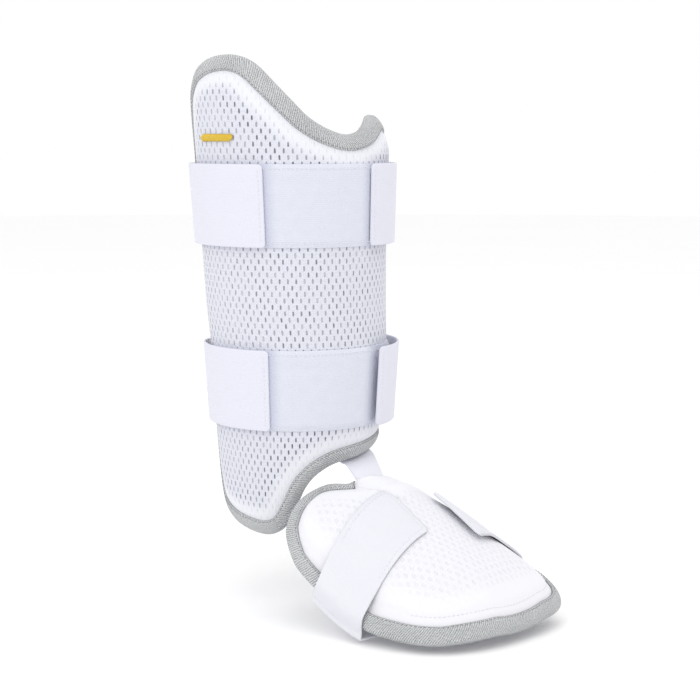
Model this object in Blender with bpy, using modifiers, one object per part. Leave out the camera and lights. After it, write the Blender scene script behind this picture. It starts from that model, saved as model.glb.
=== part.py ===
"""Batter's leg guard for the left leg.

A padded shin shell, open at the back, with a woven tape folded over its edge, two soft bands
across its front, two elastic straps round the back, and a padded foot cover that hangs from it
by a short elastic and is held by a strap under the sole.

Frame, in metres: +Z runs up the leg, -Y points to the toes and +X to the outer side of the foot.
The origin is on the leg's axis, at the middle of the shell's height.
"""

import math

import bmesh
import bpy
import numpy as np
from mathutils import Vector

COLLECTION = "batters_leg_guard"

# Shin shell
SHELL_HEIGHT = 0.3560
SHELL_RADIUS = 0.0600
SHELL_PADDING = 0.0100
SHELL_EDGE_WALL = 0.0045
SHELL_BEVEL = 0.0300
SHELL_CELLS = (26, 16)
LIP_LEAN = 0.0090
LIP_HEIGHT = 0.0300
LIP_TOP_SHARE = 0.37
LIP_FROM = -25.0
LIP_TO = 100.0
LIP_SPREADS = (60.0, 30.0)
LIP_POWER = 1.6
LIP_MOST = 1.2

# Woven tape over the edges
TAPE_FACE = 0.0110
TAPE_WALL = 0.0012
TAPE_NOSE = 0.0010
TAPE_OUTSIDE_SHARE = 0.96
TAPE_INSIDE_SHARE = 0.80
TAPE_CLEARANCE = 0.0006
CLEARANCE = 0.0004

# Bands across the shell's front, and straps round the back
BAND_WIDTH = 0.0600
BAND_WALL = 0.0020
UPPER_BAND_Z = 0.0663
LOWER_BAND_Z = -0.0690
BAND_FROM = -112.0
BAND_TO = 66.0
STRAP_WALL = 0.0018
STRAP_WIDTH = 0.0600
TAB_CORNER = 0.0060
UPPER_TAB_INNER = -59.0
UPPER_TAB_OUTER = 6.0
UPPER_OUTER_SLACK = 0.0018
LOWER_TAB_INNER = -61.0
LOWER_TAB_OUTER = 11.0
LOWER_OUTER_SLACK = 0.0055
CALF_RADIUS = 0.0600
CALF_LIFT_SHARE = 0.35
CALF_FROM = 84.0
CALF_TO = 226.0
CALF_SPREAD = 40.0
SLACK_FROM = 2.0
SLACK_TO = 130.0
SLACK_SPREADS = (14.0, 60.0)

# Foot cover
PAD_LENGTH = 0.1615
PAD_HALF_WIDTH = 0.0720
PAD_REAR = 0.0520
PAD_MIDDLE = 0.1300
PAD_CREST_SIDE = 0.0130
PAD_REAR_Z = -0.1340
PAD_DROP = 0.0940
PAD_PADDING = 0.0080
PAD_EDGE_WALL = 0.0045
PAD_BEVEL = 0.0260
PAD_CREST_POWER = 2.2
PAD_CELLS = (16, 16)
PAD_REAR_SHARE = 0.4

# Strap between the shell and the foot cover
INSTEP_WIDTH = 0.0340
INSTEP_WALL = 0.0015
INSTEP_BEARING = 14.0
INSTEP_TUCK = 0.0180
INSTEP_LAP = 0.0120
INSTEP_SEAM = 0.0020
INSTEP_SIDE = 0.0080
INSTEP_REACH = 0.0060
INSTEP_DIP = 0.0010
# How far the strap has dropped below the shell's edge, and come forward, where it turns out
INSTEP_TURNS = ((0.0030, 0.0035), (0.0042, 0.0100))

# Strap under the sole
SOLE_WIDTH = 0.0430
SOLE_OUTER_WIDTH = 0.0480
SOLE_WALL = 0.0018
SOLE_MIDDLE = 0.1200
SOLE_OUTER_MIDDLE = 0.1360
SOLE_SAG = 0.0120
SOLE_TURN = 0.0028
SOLE_OUTER_TURN = 0.0055
SOLE_INNER_END = -0.0020
SOLE_OUTER_END = 0.0260
SOLE_PROUD = 0.0070
SOLE_INSET = 0.0040
SOLE_CORNER = 0.0034
SOLE_SLOPE_POINTS = 9
# Where the strap turns under the foot cover's edge, in shares of its turn: out to the side, and up
SOLE_TURNS = ((1.0, 0.6), (1.0, -0.3), (0.1, -1.1))

# Small embroidered bar at the top of the inner side
BAR_LENGTH = 0.0340
BAR_HEIGHT = 0.0055
BAR_RELIEF = 0.0008
BAR_BEARING = -90.0
BAR_Z = 0.1150

# The shell's rows up the leg: height, radius, and the middle's shift to the outer side and to the
# toes, all as shares (of SHELL_HEIGHT, or of SHELL_RADIUS)
SHELL_ROWS = (
    # height, radius, outward, forward
    (-0.520, 0.790, 0.036, 0.036),
    (-0.407, 0.840, 0.038, 0.038),
    (-0.306, 0.890, 0.040, 0.040),
    (-0.101, 0.965, 0.041, 0.041),
    (-0.027, 0.985, 0.022, 0.022),
    (0.081, 1.003, 0.009, 0.009),
    (0.295, 1.065, -0.011, -0.011),
    (0.410, 1.125, -0.012, -0.012),
    (0.520, 1.160, -0.012, -0.012),
)

# The shell's edge, once round: bearing in degrees from the toes towards the outer side, height as
# a share of SHELL_HEIGHT, and whether one of the four corners of the mesh lies there
SHELL_EDGE = (
    # bearing, height, corner
    (-140.0, -0.330, 0),
    (-142.0, -0.100, 0),
    (-141.0, 0.100, 0),
    (-137.0, 0.270, 0),
    (-130.0, 0.400, 1),
    (-118.0, 0.454, 0),
    (-104.0, 0.478, 0),
    (-90.0, 0.489, 0),
    (-76.0, 0.488, 0),
    (-64.0, 0.471, 0),
    (-52.0, 0.432, 0),
    (-42.0, 0.397, 0),
    (-32.0, 0.364, 0),
    (-20.0, 0.341, 0),
    (-7.0, 0.330, 0),
    (6.0, 0.337, 0),
    (16.0, 0.352, 0),
    (26.0, 0.366, 0),
    (40.0, 0.371, 0),
    (56.0, 0.358, 0),
    (70.0, 0.325, 0),
    (78.5, 0.268, 1),
    (84.0, 0.180, 0),
    (85.5, 0.050, 0),
    (85.0, -0.120, 0),
    (83.5, -0.230, 0),
    (77.0, -0.302, 1),
    (64.0, -0.330, 0),
    (48.0, -0.338, 0),
    (30.0, -0.341, 0),
    (10.0, -0.347, 0),
    (-9.0, -0.353, 0),
    (-20.0, -0.362, 0),
    (-30.0, -0.380, 0),
    (-37.5, -0.405, 0),
    (-44.0, -0.443, 0),
    (-52.0, -0.484, 0),
    (-61.0, -0.503, 0),
    (-72.0, -0.509, 0),
    (-90.0, -0.502, 0),
    (-107.0, -0.490, 0),
    (-122.0, -0.468, 1),
    (-133.5, -0.415, 0),
)

# The foot cover's edge, once round from the middle of its rear: side as a share of
# PAD_HALF_WIDTH, forward as a share of PAD_LENGTH from PAD_REAR, drop as a share of PAD_DROP, and
# whether one of the four corners of the mesh lies there
PAD_EDGE = (
    # side, forward, drop, corner
    (0.056, 0.194, 0.021, 0),
    (-0.118, 0.144, 0.000, 0),
    (-0.278, 0.044, 0.085, 0),
    (-0.431, 0.003, 0.170, 0),
    (-0.625, -0.003, 0.255, 1),
    (-0.792, 0.025, 0.362, 0),
    (-0.903, 0.069, 0.457, 0),
    (-0.986, 0.156, 0.606, 0),
    (-0.993, 0.237, 0.713, 0),
    (-0.958, 0.325, 0.819, 0),
    (-0.917, 0.425, 0.926, 0),
    (-0.903, 0.550, 0.995, 0),
    (-0.861, 0.656, 1.021, 0),
    (-0.778, 0.781, 1.032, 0),
    (-0.639, 0.875, 1.032, 1),
    (-0.417, 0.944, 1.021, 0),
    (-0.111, 0.988, 1.005, 0),
    (0.222, 1.003, 0.995, 0),
    (0.583, 0.994, 0.995, 0),
    (0.861, 0.969, 0.989, 0),
    (1.021, 0.919, 0.947, 1),
    (1.083, 0.819, 0.883, 0),
    (1.083, 0.688, 0.809, 0),
    (1.049, 0.537, 0.723, 0),
    (0.972, 0.394, 0.617, 0),
    (0.833, 0.269, 0.468, 0),
    (0.639, 0.191, 0.298, 1),
    (0.444, 0.163, 0.160, 0),
    (0.250, 0.175, 0.064, 0),
)

# The foot cover's crest from the ankle to the toes: forward and drop as the edge has them
PAD_CREST = (
    # forward, drop
    (-0.050, -0.106),
    (0.142, -0.037),
    (0.254, 0.027),
    (0.334, 0.096),
    (0.440, 0.191),
    (0.607, 0.346),
    (0.774, 0.489),
    (0.854, 0.574),
    (0.916, 0.660),
    (0.991, 0.809),
)

WHITE = (0.86, 0.86, 0.90, 1.0)
PURE_WHITE = (0.93, 0.93, 0.94, 1.0)
GREY = (0.40, 0.42, 0.42, 1.0)
GOLD = (0.80, 0.58, 0.14, 1.0)


def eased(share):
    """Smooth step from 0 to 1."""
    share = min(max(share, 0.0), 1.0)
    return share * share * (3.0 - 2.0 * share)


def smooth_loop(rows, steps):
    """Closed smooth curve through the rows, with the same number of steps between each two."""
    rows = np.array(rows, dtype=float)
    before = np.roll(rows, 1, axis=0)
    after = np.roll(rows, -1, axis=0)
    later = np.roll(rows, -2, axis=0)
    points = []
    for step in range(steps):
        t = step / steps
        blend = 0.5 * (
            2.0 * rows
            + (after - before) * t
            + (2.0 * before - 5.0 * rows + 4.0 * after - later) * t ** 2
            + (3.0 * rows - before - 3.0 * after + later) * t ** 3
        )
        points.append(blend)
    return np.stack(points, axis=1).reshape(-1, rows.shape[1])


def even_points(curve, count):
    """The open curve resampled to count + 1 points, evenly along its length."""
    steps = np.linalg.norm(np.diff(curve[:, :2], axis=0), axis=1)
    length = np.concatenate(([0.0], np.cumsum(steps)))
    targets = np.linspace(0.0, length[-1], count + 1)
    return np.stack([np.interp(targets, length, column) for column in curve.T], axis=1)


def side_curves(rows, corner_rows, cells, steps=12):
    """Four sides of a closed edge between its corners, each with its own number of cells."""
    loop = smooth_loop(rows, steps)
    sides = []
    for number, start in enumerate(corner_rows):
        stop = corner_rows[(number + 1) % 4]
        if stop <= start:
            stop += len(rows)
        places = [place % len(loop) for place in range(start * steps, stop * steps + 1)]
        sides.append(even_points(loop[places], cells[number % 2]))
    return sides


def inset_ring(ring, width, surface=None):
    """Points a width inside a closed ring, square to it in its own plane.

    With a surface, the width is measured along it.
    """
    flat = ring[:, :2]
    along = np.roll(flat, -1, axis=0) - np.roll(flat, 1, axis=0)
    along /= np.linalg.norm(along, axis=1)[:, None]
    inward = np.stack([along[:, 1], -along[:, 0]], axis=1)
    area = np.sum(flat[:, 0] * np.roll(flat[:, 1], -1) - np.roll(flat[:, 0], -1) * flat[:, 1])
    if area > 0:
        inward = -inward
    widths = np.full((len(flat), 1), width)
    if surface is not None:
        for _round in range(4):
            reached = flat + inward * widths
            for number, (one, two) in enumerate(zip(flat, reached)):
                widths[number] *= width / (surface(*two) - surface(*one)).length
    return flat + inward * widths


def grid_places(bm, across, along):
    """Each grid vertex of a fresh unit grid with its column and row."""
    places = {}
    for vert in bm.verts:
        column = round((vert.co.x + 1.0) * 0.5 * across)
        row = round((vert.co.y + 1.0) * 0.5 * along)
        places[(column, row)] = vert
    return places


def padded_patch(rows, corner_rows, cells, rim_width, surface=None):
    """Flat quad patch inside a closed edge: an inner grid, and one row of faces along the edge.

    Returns the mesh and its edge ring and inner ring of vertices, in order round the edge.
    """
    sides = side_curves(rows, corner_rows, cells)
    outer = np.concatenate([side[:-1] for side in sides])[:, :2]
    inner = inset_ring(outer, rim_width, surface)
    first, second = cells
    corners = [0, first, first + second, 2 * first + second]
    bm = bmesh.new()
    bmesh.ops.create_grid(bm, x_segments=first, y_segments=second, size=1.0)
    places = grid_places(bm, first, second)
    near = inner[corners[0]:corners[1] + 1]
    right = inner[corners[1]:corners[2] + 1]
    far = inner[corners[2]:corners[3] + 1][::-1]
    left = np.concatenate([inner[corners[3]:], inner[:1]])[::-1]
    ring_verts = [None] * len(inner)
    for (column, row), vert in places.items():
        u = column / first
        v = row / second
        place = (
            (1.0 - v) * near[column] + v * far[column]
            + (1.0 - u) * left[row] + u * right[row]
            - (1.0 - u) * (1.0 - v) * near[0] - u * (1.0 - v) * near[-1]
            - (1.0 - u) * v * far[0] - u * v * far[-1]
        )
        vert.co = (place[0], place[1], 0.0)
    for column in range(first):
        ring_verts[column] = places[(column, 0)]
        ring_verts[corners[2] + column] = places[(first - column, second)]
    for row in range(second):
        ring_verts[corners[1] + row] = places[(first, row)]
        ring_verts[corners[3] + row] = places[(0, second - row)]
    border = [edge for edge in bm.edges if edge.is_boundary]
    made = bmesh.ops.extrude_edge_only(bm, edges=border)["geom"]
    twins = {}
    for item in made:
        if isinstance(item, bmesh.types.BMVert):
            twins[tuple(item.co)] = item
    edge_verts = [twins[tuple(vert.co)] for vert in ring_verts]
    for vert, place in zip(edge_verts, outer):
        vert.co = (place[0], place[1], 0.0)
    return bm, edge_verts, ring_verts


def edge_distance(place, ring):
    """Distance in the patch's plane from a place to the nearest side of a closed ring."""
    start = ring
    along = np.roll(ring, -1, axis=0) - ring
    share = np.sum((place - start) * along, axis=1) / np.sum(along * along, axis=1)
    nearest = start + along * np.clip(share, 0.0, 1.0)[:, None]
    return float(np.min(np.linalg.norm(nearest - place, axis=1)))


def wall_at(distance, edge_wall, padding, bevel):
    """Thickness of a padded wall at a distance from its edge."""
    share = min(distance / bevel, 1.0)
    return edge_wall + (padding - edge_wall) * (1.0 - (1.0 - share) ** 2)


def material(name, color, roughness):
    """One Principled material of its own for each piece."""
    made = bpy.data.materials.new(name)
    made.use_nodes = True
    shader = made.node_tree.nodes["Principled BSDF"]
    shader.inputs["Base Color"].default_value = color
    shader.inputs["Roughness"].default_value = roughness
    shader.inputs["Metallic"].default_value = 0.0
    return made


def add_piece(name, bm, color, roughness, wall, offset=1.0):
    """Object in the part's collection, thickened from its open surface."""
    mesh = bpy.data.meshes.new(name)
    bm.to_mesh(mesh)
    bm.free()
    piece = bpy.data.objects.new(name, mesh)
    mesh.materials.append(material(name, color, roughness))
    mesh.shade_smooth()
    bpy.data.collections[COLLECTION].objects.link(piece)
    solid = piece.modifiers.new("wall", "SOLIDIFY")
    solid.thickness = wall
    solid.offset = offset
    solid.use_even_offset = True
    solid.use_rim = True
    facets = piece.modifiers.new("facets", "TRIANGULATE")
    facets.quad_method = "SHORTEST_DIAGONAL"
    return piece


def add_padding(piece, weights, edge_share):
    """Thins a padded wall towards its edge, by one weight for each vertex."""
    group = piece.vertex_groups.new(name="fullness")
    for index, weight in enumerate(weights):
        group.add([index], weight, "REPLACE")
    solid = piece.modifiers["wall"]
    solid.vertex_group = group.name
    solid.thickness_vertex_group = edge_share
    solid.use_even_offset = False


def sheet(points, closed=False):
    """Open surface through a grid of points, welded where its ends meet."""
    across = len(points) - 1
    along = len(points[0]) - 1
    bm = bmesh.new()
    bmesh.ops.create_grid(bm, x_segments=across, y_segments=along, size=1.0)
    for (column, row), vert in grid_places(bm, across, along).items():
        vert.co = points[column][row]
    if closed:
        bmesh.ops.remove_doubles(bm, verts=bm.verts, dist=0.00001)
    return bm


def face_out(bm, outward):
    """Turns the faces so that they look along the outward direction given for a place."""
    bm.normal_update()
    total = sum(face.normal.dot(outward(face.calc_center_median())) for face in bm.faces)
    if total < 0.0:
        bmesh.ops.reverse_faces(bm, faces=bm.faces)
    bm.normal_update()


def shell_row(height):
    """Inner radius and middle of the shell at a height."""
    rows = np.array(SHELL_ROWS)
    heights = rows[:, 0] * SHELL_HEIGHT
    radius = float(np.interp(height, heights, rows[:, 1])) * SHELL_RADIUS
    outward = float(np.interp(height, heights, rows[:, 2])) * SHELL_RADIUS
    forward = float(np.interp(height, heights, rows[:, 3])) * SHELL_RADIUS
    return radius, outward, forward


def lip(bearing, height):
    """How far the shell leans in to the leg at its top on the outer side."""
    first, last = LIP_SPREADS
    reach = eased((bearing - LIP_FROM) / first) * eased((LIP_TO - bearing) / last)
    top = SHELL_HEIGHT * LIP_TOP_SHARE
    rise = min(max((height - top + LIP_HEIGHT) / LIP_HEIGHT, 0.0), LIP_MOST)
    return LIP_LEAN * reach * rise ** LIP_POWER


def on_leg(bearing, height, off=0.0):
    """Point a distance off the shell's inner face, at a bearing and height."""
    radius, outward, forward = shell_row(height)
    radius += off - lip(bearing, height)
    angle = math.radians(bearing)
    return Vector((outward + radius * math.sin(angle), -forward - radius * math.cos(angle), height))


def from_leg(place):
    """Outward direction from the leg's axis."""
    return Vector((place.x, place.y, 0.0)).normalized()


def build_shell():
    """Padded shell: its inner face is a patch bent round the leg, thickened outward."""
    degree = math.radians(SHELL_RADIUS)
    rows = [(row[0] * degree, row[1] * SHELL_HEIGHT) for row in SHELL_EDGE]
    corner_rows = [number for number, row in enumerate(SHELL_EDGE) if row[2]]
    trimmed = inset_ring(np.array(rows), TAPE_WALL + TAPE_NOSE)
    bm, edge, ring = padded_patch(trimmed, corner_rows, SHELL_CELLS, TAPE_FACE)
    outline = np.array([vert.co[:2] for vert in edge])
    walls = []
    for vert in bm.verts:
        distance = edge_distance(np.array(vert.co[:2]), outline)
        walls.append(wall_at(distance, SHELL_EDGE_WALL, SHELL_PADDING, SHELL_BEVEL))
        vert.co = on_leg(vert.co.x / degree, vert.co.y)
    face_out(bm, from_leg)
    numbers = {vert: number for number, vert in enumerate(bm.verts)}
    rim = [tape_station(one, walls[numbers[one]], two, walls[numbers[two]])
           for one, two in zip(edge, ring)]
    piece = add_piece("shin_shell", bm, WHITE, 0.85, SHELL_PADDING)
    span = SHELL_PADDING - SHELL_EDGE_WALL
    add_padding(piece, [(wall - SHELL_EDGE_WALL) / span for wall in walls], SHELL_EDGE_WALL / SHELL_PADDING)
    return rim


def tape_station(edge_vert, edge_wall, ring_vert, ring_wall):
    """Inner side of the folded tape's section at one place on a padded edge."""
    edge = edge_vert.co.copy()
    ring = ring_vert.co.copy()
    up = edge_vert.normal.copy()
    ring_up = ring_vert.normal.copy()
    inward = (ring - edge).normalized()
    top_edge = edge + up * (edge_wall + TAPE_CLEARANCE)
    top_ring = ring + ring_up * (ring_wall + TAPE_CLEARANCE)
    low_edge = edge - up * TAPE_CLEARANCE
    low_ring = ring - ring_up * TAPE_CLEARANCE
    nose = edge + up * (edge_wall * 0.5) - inward * TAPE_NOSE
    outer_leg = top_edge.lerp(top_ring, TAPE_OUTSIDE_SHARE)
    inner_leg = low_edge.lerp(low_ring, TAPE_INSIDE_SHARE)
    middle = edge + up * (edge_wall * 0.5) + inward * TAPE_FACE
    return [outer_leg, top_edge, nose, low_edge, inner_leg], middle


def build_tape(name, stations, closed):
    """Woven tape folded over a padded edge."""
    points = [station[0] for station in stations]
    if closed:
        points = points + [points[0]]
    bm = sheet(points, closed)
    middles = [(point[1], middle) for point, middle in stations]
    bm.normal_update()
    face = min(bm.faces, key=lambda item: (item.calc_center_median() - middles[0][0]).length)
    nearest = min(middles, key=lambda pair: (pair[0] - face.calc_center_median()).length)
    if face.normal.dot(face.calc_center_median() - nearest[1]) < 0.0:
        bmesh.ops.reverse_faces(bm, faces=bm.faces)
    add_piece(name, bm, GREY, 0.8, TAPE_WALL)


def corner_half(width, corner, to_end):
    """Half width of a strap at a distance from its end, with rounded corners."""
    half = width / 2.0
    if to_end >= corner:
        return half
    return half - corner + math.sqrt(corner ** 2 - (corner - to_end) ** 2)


def end_shares(length, corner, cells):
    """Shares along a strap, closer together over its rounded ends."""
    ends = [0.0, 0.12, 0.45, 1.0]
    first = [share * corner / length for share in ends]
    last = [1.0 - share for share in reversed(first)]
    middle = np.linspace(first[-1], last[0], cells + 1)[1:-1]
    return first + list(middle) + last


def build_band(name, middle):
    """Soft band across the front of the shell."""
    bearings = np.linspace(BAND_FROM, BAND_TO, 27)
    heights = np.linspace(middle - BAND_WIDTH / 2, middle + BAND_WIDTH / 2, 5)
    off = SHELL_PADDING + CLEARANCE
    bm = sheet([[on_leg(bearing, height, off) for height in heights] for bearing in bearings])
    face_out(bm, from_leg)
    add_piece(name, bm, WHITE, 0.95, BAND_WALL)


def strap_point(bearing, height, slack):
    """Point on a strap's inner side: over the band in front, round the calf at the back."""
    over = SHELL_PADDING + BAND_WALL + 2.0 * CLEARANCE
    turn = (bearing + 360.0) % 360.0
    behind = eased((turn - CALF_FROM) / CALF_SPREAD) * eased((CALF_TO - turn) / CALF_SPREAD)
    first, last = SLACK_SPREADS
    loose = slack * eased((turn - SLACK_FROM) / first) * eased((SLACK_TO - turn) / last)
    radius = shell_row(height)[0]
    calf = CALF_RADIUS * radius / SHELL_RADIUS - radius
    off = over * (1.0 - behind) + (calf + over * CALF_LIFT_SHARE) * behind + loose
    signed = turn - 360.0 if turn > 180.0 else turn
    return on_leg(signed, height, off)


def build_strap(name, middle, inner_end, outer_end, slack):
    """Elastic strap from its tab on the inner side, round the back, to its tab on the outer side."""
    start = inner_end
    stop = outer_end - 360.0
    length = math.radians(start - stop) * (shell_row(middle)[0] + SHELL_PADDING)
    points = []
    for share in end_shares(length, TAB_CORNER, 44):
        bearing = start + (stop - start) * share
        to_end = min(share, 1.0 - share) * length
        half = corner_half(STRAP_WIDTH, TAB_CORNER, to_end)
        heights = np.linspace(middle - half, middle + half, 5)
        points.append([strap_point(bearing, height, slack) for height in heights])
    bm = sheet(points)
    face_out(bm, from_leg)
    add_piece(name, bm, WHITE, 0.8, STRAP_WALL)


def pad_rows():
    """The foot cover's edge as side, forward and height, in metres."""
    rows = []
    for side, forward, drop, _corner in PAD_EDGE:
        rows.append((side * PAD_HALF_WIDTH, PAD_REAR + forward * PAD_LENGTH, PAD_REAR_Z - drop * PAD_DROP))
    return np.array(rows)


PAD_LOOP = smooth_loop(pad_rows(), 12)


def pad_edge_at(side, forward):
    """Reach, forward place and height of the foot cover's edge in the direction of a place."""
    turns = np.arctan2(PAD_LOOP[:, 0] - PAD_CREST_SIDE, PAD_LOOP[:, 1] - PAD_MIDDLE)
    order = np.argsort(turns)
    reach = np.hypot(PAD_LOOP[:, 0] - PAD_CREST_SIDE, PAD_LOOP[:, 1] - PAD_MIDDLE)
    turn = math.atan2(side - PAD_CREST_SIDE, forward - PAD_MIDDLE)
    found = []
    for column in (reach, PAD_LOOP[:, 1], PAD_LOOP[:, 2]):
        found.append(float(np.interp(turn, turns[order], column[order], period=2.0 * math.pi)))
    return found


def crest_height(forward):
    """Height of the foot cover's crest, on its inner face."""
    rows = np.array(PAD_CREST)
    share = (forward - PAD_REAR) / PAD_LENGTH
    return PAD_REAR_Z - float(np.interp(share, rows[:, 0], rows[:, 1])) * PAD_DROP - PAD_PADDING


def on_foot(side, forward, off=0.0):
    """Point on the foot cover's inner face, or a distance above it."""
    reach, edge_forward, edge_height = pad_edge_at(side, forward)
    share = math.hypot(side - PAD_CREST_SIDE, forward - PAD_MIDDLE) / reach
    bend = share ** PAD_CREST_POWER
    height = crest_height(forward) + (edge_height - crest_height(edge_forward)) * bend
    place = Vector((side, -forward, height))
    if off:
        place += foot_normal(side, forward) * off
    return place


def foot_normal(side, forward, step=0.002):
    """Upward normal of the foot cover's inner face."""
    across = on_foot(side + step, forward) - on_foot(side - step, forward)
    along = on_foot(side, forward + step) - on_foot(side, forward - step)
    return along.cross(across).normalized()


def build_pad():
    """Padded foot cover: its inner face is a patch arched over the foot, thickened outward."""
    rows = pad_rows()[:, :2]
    corner_rows = [number for number, row in enumerate(PAD_EDGE) if row[3]]
    trimmed = inset_ring(rows, TAPE_WALL + TAPE_NOSE)
    bm, edge, ring = padded_patch(trimmed, corner_rows, PAD_CELLS, TAPE_FACE, on_foot)
    outline = np.array([vert.co[:2] for vert in edge])
    walls = []
    for vert in bm.verts:
        distance = edge_distance(np.array(vert.co[:2]), outline)
        walls.append(wall_at(distance, PAD_EDGE_WALL, PAD_PADDING, PAD_BEVEL))
        vert.co = on_foot(vert.co.x, vert.co.y)
    face_out(bm, lambda place: Vector((0.0, 0.0, 1.0)))
    numbers = {vert: number for number, vert in enumerate(bm.verts)}
    rim = [tape_station(one, walls[numbers[one]], two, walls[numbers[two]])
           for one, two in zip(edge, ring)]
    piece = add_piece("foot_pad", bm, PURE_WHITE, 0.85, PAD_PADDING)
    span = PAD_PADDING - PAD_EDGE_WALL
    add_padding(piece, [(wall - PAD_EDGE_WALL) / span for wall in walls], PAD_EDGE_WALL / PAD_PADDING)
    return rim


def pad_tape_stations(rim):
    """The foot cover's edge without the stretch under the strap from the shell, in order."""
    half = INSTEP_WIDTH / 2 + CLEARANCE
    kept = []
    for station in rim:
        edge = station[0][1]
        under = abs(edge.x - INSTEP_SIDE) < half and -edge.y < PAD_REAR + PAD_LENGTH * PAD_REAR_SHARE
        kept.append(not under)
    first_gap = kept.index(False)
    turned = rim[first_gap:] + rim[:first_gap]
    flags = kept[first_gap:] + kept[:first_gap]
    return [station for station, keep in zip(turned, flags) if keep]


def low_edge_at(bearing):
    """Height of the shell's lower edge at a bearing on its front."""
    rows = np.array([row for row in SHELL_EDGE if row[1] < 0.0 and -45.0 < row[0] < 75.0])
    order = np.argsort(rows[:, 0])
    return float(np.interp(bearing, rows[order, 0], rows[order, 1])) * SHELL_HEIGHT


def build_instep_strap():
    """Short elastic from behind the shell's lower edge to the underside of the foot cover."""
    half_bearing = math.degrees(INSTEP_WIDTH / 2 / shell_row(low_edge_at(INSTEP_BEARING))[0])
    behind = -(TAPE_WALL + 2.0 * TAPE_CLEARANCE + INSTEP_WALL)
    points = []
    for across in np.linspace(-1.0, 1.0, 7):
        bearing = INSTEP_BEARING + across * half_bearing
        low_edge = low_edge_at(bearing)
        side = INSTEP_SIDE + across * INSTEP_WIDTH / 2
        rear = PAD_REAR + PAD_LENGTH * 0.2
        while pad_edge_at(side, rear)[0] < math.hypot(side - PAD_CREST_SIDE, rear - PAD_MIDDLE):
            rear += 0.001
        under = -(INSTEP_SEAM + INSTEP_WALL)
        route = [
            on_leg(bearing, low_edge + INSTEP_TUCK, behind),
            on_leg(bearing, low_edge + INSTEP_TUCK / 2, behind),
            on_leg(bearing, low_edge, behind),
            *[on_leg(bearing, low_edge - drop, behind + forward) for drop, forward in INSTEP_TURNS],
            on_foot(side, rear - INSTEP_REACH, under) + Vector((0.0, 0.0, INSTEP_DIP)),
            on_foot(side, rear, under),
            on_foot(side, rear + INSTEP_LAP / 2, under),
            on_foot(side, rear + INSTEP_LAP, under),
        ]
        points.append(route)
    bm = sheet(points)
    face_out(bm, lambda place: Vector((0.0, -0.5, 1.0)))
    add_piece("instep_strap", bm, PURE_WHITE, 0.8, INSTEP_WALL)


def edge_side(forward, sign):
    """Side place and height of the foot cover's edge at a forward place, on one side."""
    one_side = PAD_LOOP[PAD_LOOP[:, 0] * sign > PAD_HALF_WIDTH * 0.5]
    order = np.argsort(one_side[:, 1])
    side = float(np.interp(forward, one_side[order, 1], one_side[order, 0]))
    height = float(np.interp(forward, one_side[order, 1], one_side[order, 2]))
    return side, height


def sole_route(across):
    """One long edge or inner line of the strap under the sole, from its inner to its outer end."""
    inner_forward = SOLE_MIDDLE + across * SOLE_WIDTH / 2
    outer_forward = SOLE_OUTER_MIDDLE + across * SOLE_OUTER_WIDTH / 2
    over = PAD_PADDING + 2.0 * CLEARANCE
    tape = TAPE_WALL + CLEARANCE
    inner_side, inner_height = edge_side(inner_forward, -1)
    outer_side, outer_height = edge_side(outer_forward, 1)
    route = []
    for share in np.linspace(0.0, 1.0, SOLE_SLOPE_POINTS):
        side = SOLE_INNER_END + (inner_side + SOLE_INSET - SOLE_INNER_END) * share
        route.append(on_foot(side, inner_forward, over + tape * eased(share * 3.0 - 2.0)))
    for out, up in SOLE_TURNS:
        side = inner_side - out * SOLE_TURN
        route.append(Vector((side, -inner_forward, inner_height + up * SOLE_TURN)))
    low = (inner_height + outer_height) / 2 - SOLE_SAG
    for share in (0.2, 0.4, 0.6, 0.8):
        side = inner_side + (outer_side - inner_side) * share
        forward = inner_forward + (outer_forward - inner_forward) * share
        ends = inner_height + (outer_height - inner_height) * share - SOLE_TURN
        sag = 4.0 * share * (1.0 - share)
        route.append(Vector((side, -forward, ends + (low - ends) * sag)))
    for out, up in reversed(SOLE_TURNS):
        side = outer_side + out * SOLE_OUTER_TURN
        route.append(Vector((side, -outer_forward, outer_height + up * SOLE_OUTER_TURN)))
    for share in np.linspace(0.0, 1.0, SOLE_SLOPE_POINTS):
        side = outer_side - SOLE_INSET + (SOLE_OUTER_END - outer_side + SOLE_INSET) * share
        lift = SOLE_PROUD * eased(share * 1.4 - 0.4) + tape * eased(1.0 - share * 2.0)
        route.append(on_foot(side, outer_forward, over + lift))
    return route


def build_foot_strap():
    """Strap round the foot: tab on the inner side, under the sole, end on the outer side."""
    lines = [sole_route(across) for across in (-1.0, -0.86, 0.0, 0.86, 1.0)]
    points = [list(column) for column in zip(*lines)]
    for end, nearby in ((points[0], points[1]), (points[-1], points[-2])):
        for place in (0, -1):
            along = (nearby[place] - end[place]).normalized()
            end[place] += along * SOLE_CORNER
    bm = sheet(points)
    bm.normal_update()
    middle = Vector((0.0, -SOLE_MIDDLE, PAD_REAR_Z - PAD_DROP * 0.7))
    face_out(bm, lambda place: (place - middle).normalized())
    add_piece("foot_strap", bm, WHITE, 0.8, SOLE_WALL)


def build_bar():
    """Plain raised bar of gold embroidery."""
    points = []
    radius = shell_row(BAR_Z)[0] + SHELL_PADDING
    for share in (0.0, 0.02, 0.08, 0.25, 0.5, 0.75, 0.92, 0.98, 1.0):
        to_end = min(share, 1.0 - share) * BAR_LENGTH
        half = max(corner_half(BAR_HEIGHT, BAR_HEIGHT / 2, to_end), BAR_HEIGHT * 0.05)
        bearing = BAR_BEARING + math.degrees((share - 0.5) * BAR_LENGTH / radius)
        heights = np.linspace(BAR_Z - half, BAR_Z + half, 3)
        points.append([on_leg(bearing, height, SHELL_PADDING + CLEARANCE) for height in heights])
    bm = sheet(points)
    face_out(bm, from_leg)
    add_piece("stitched_bar", bm, GOLD, 0.4, BAR_RELIEF)


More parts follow.
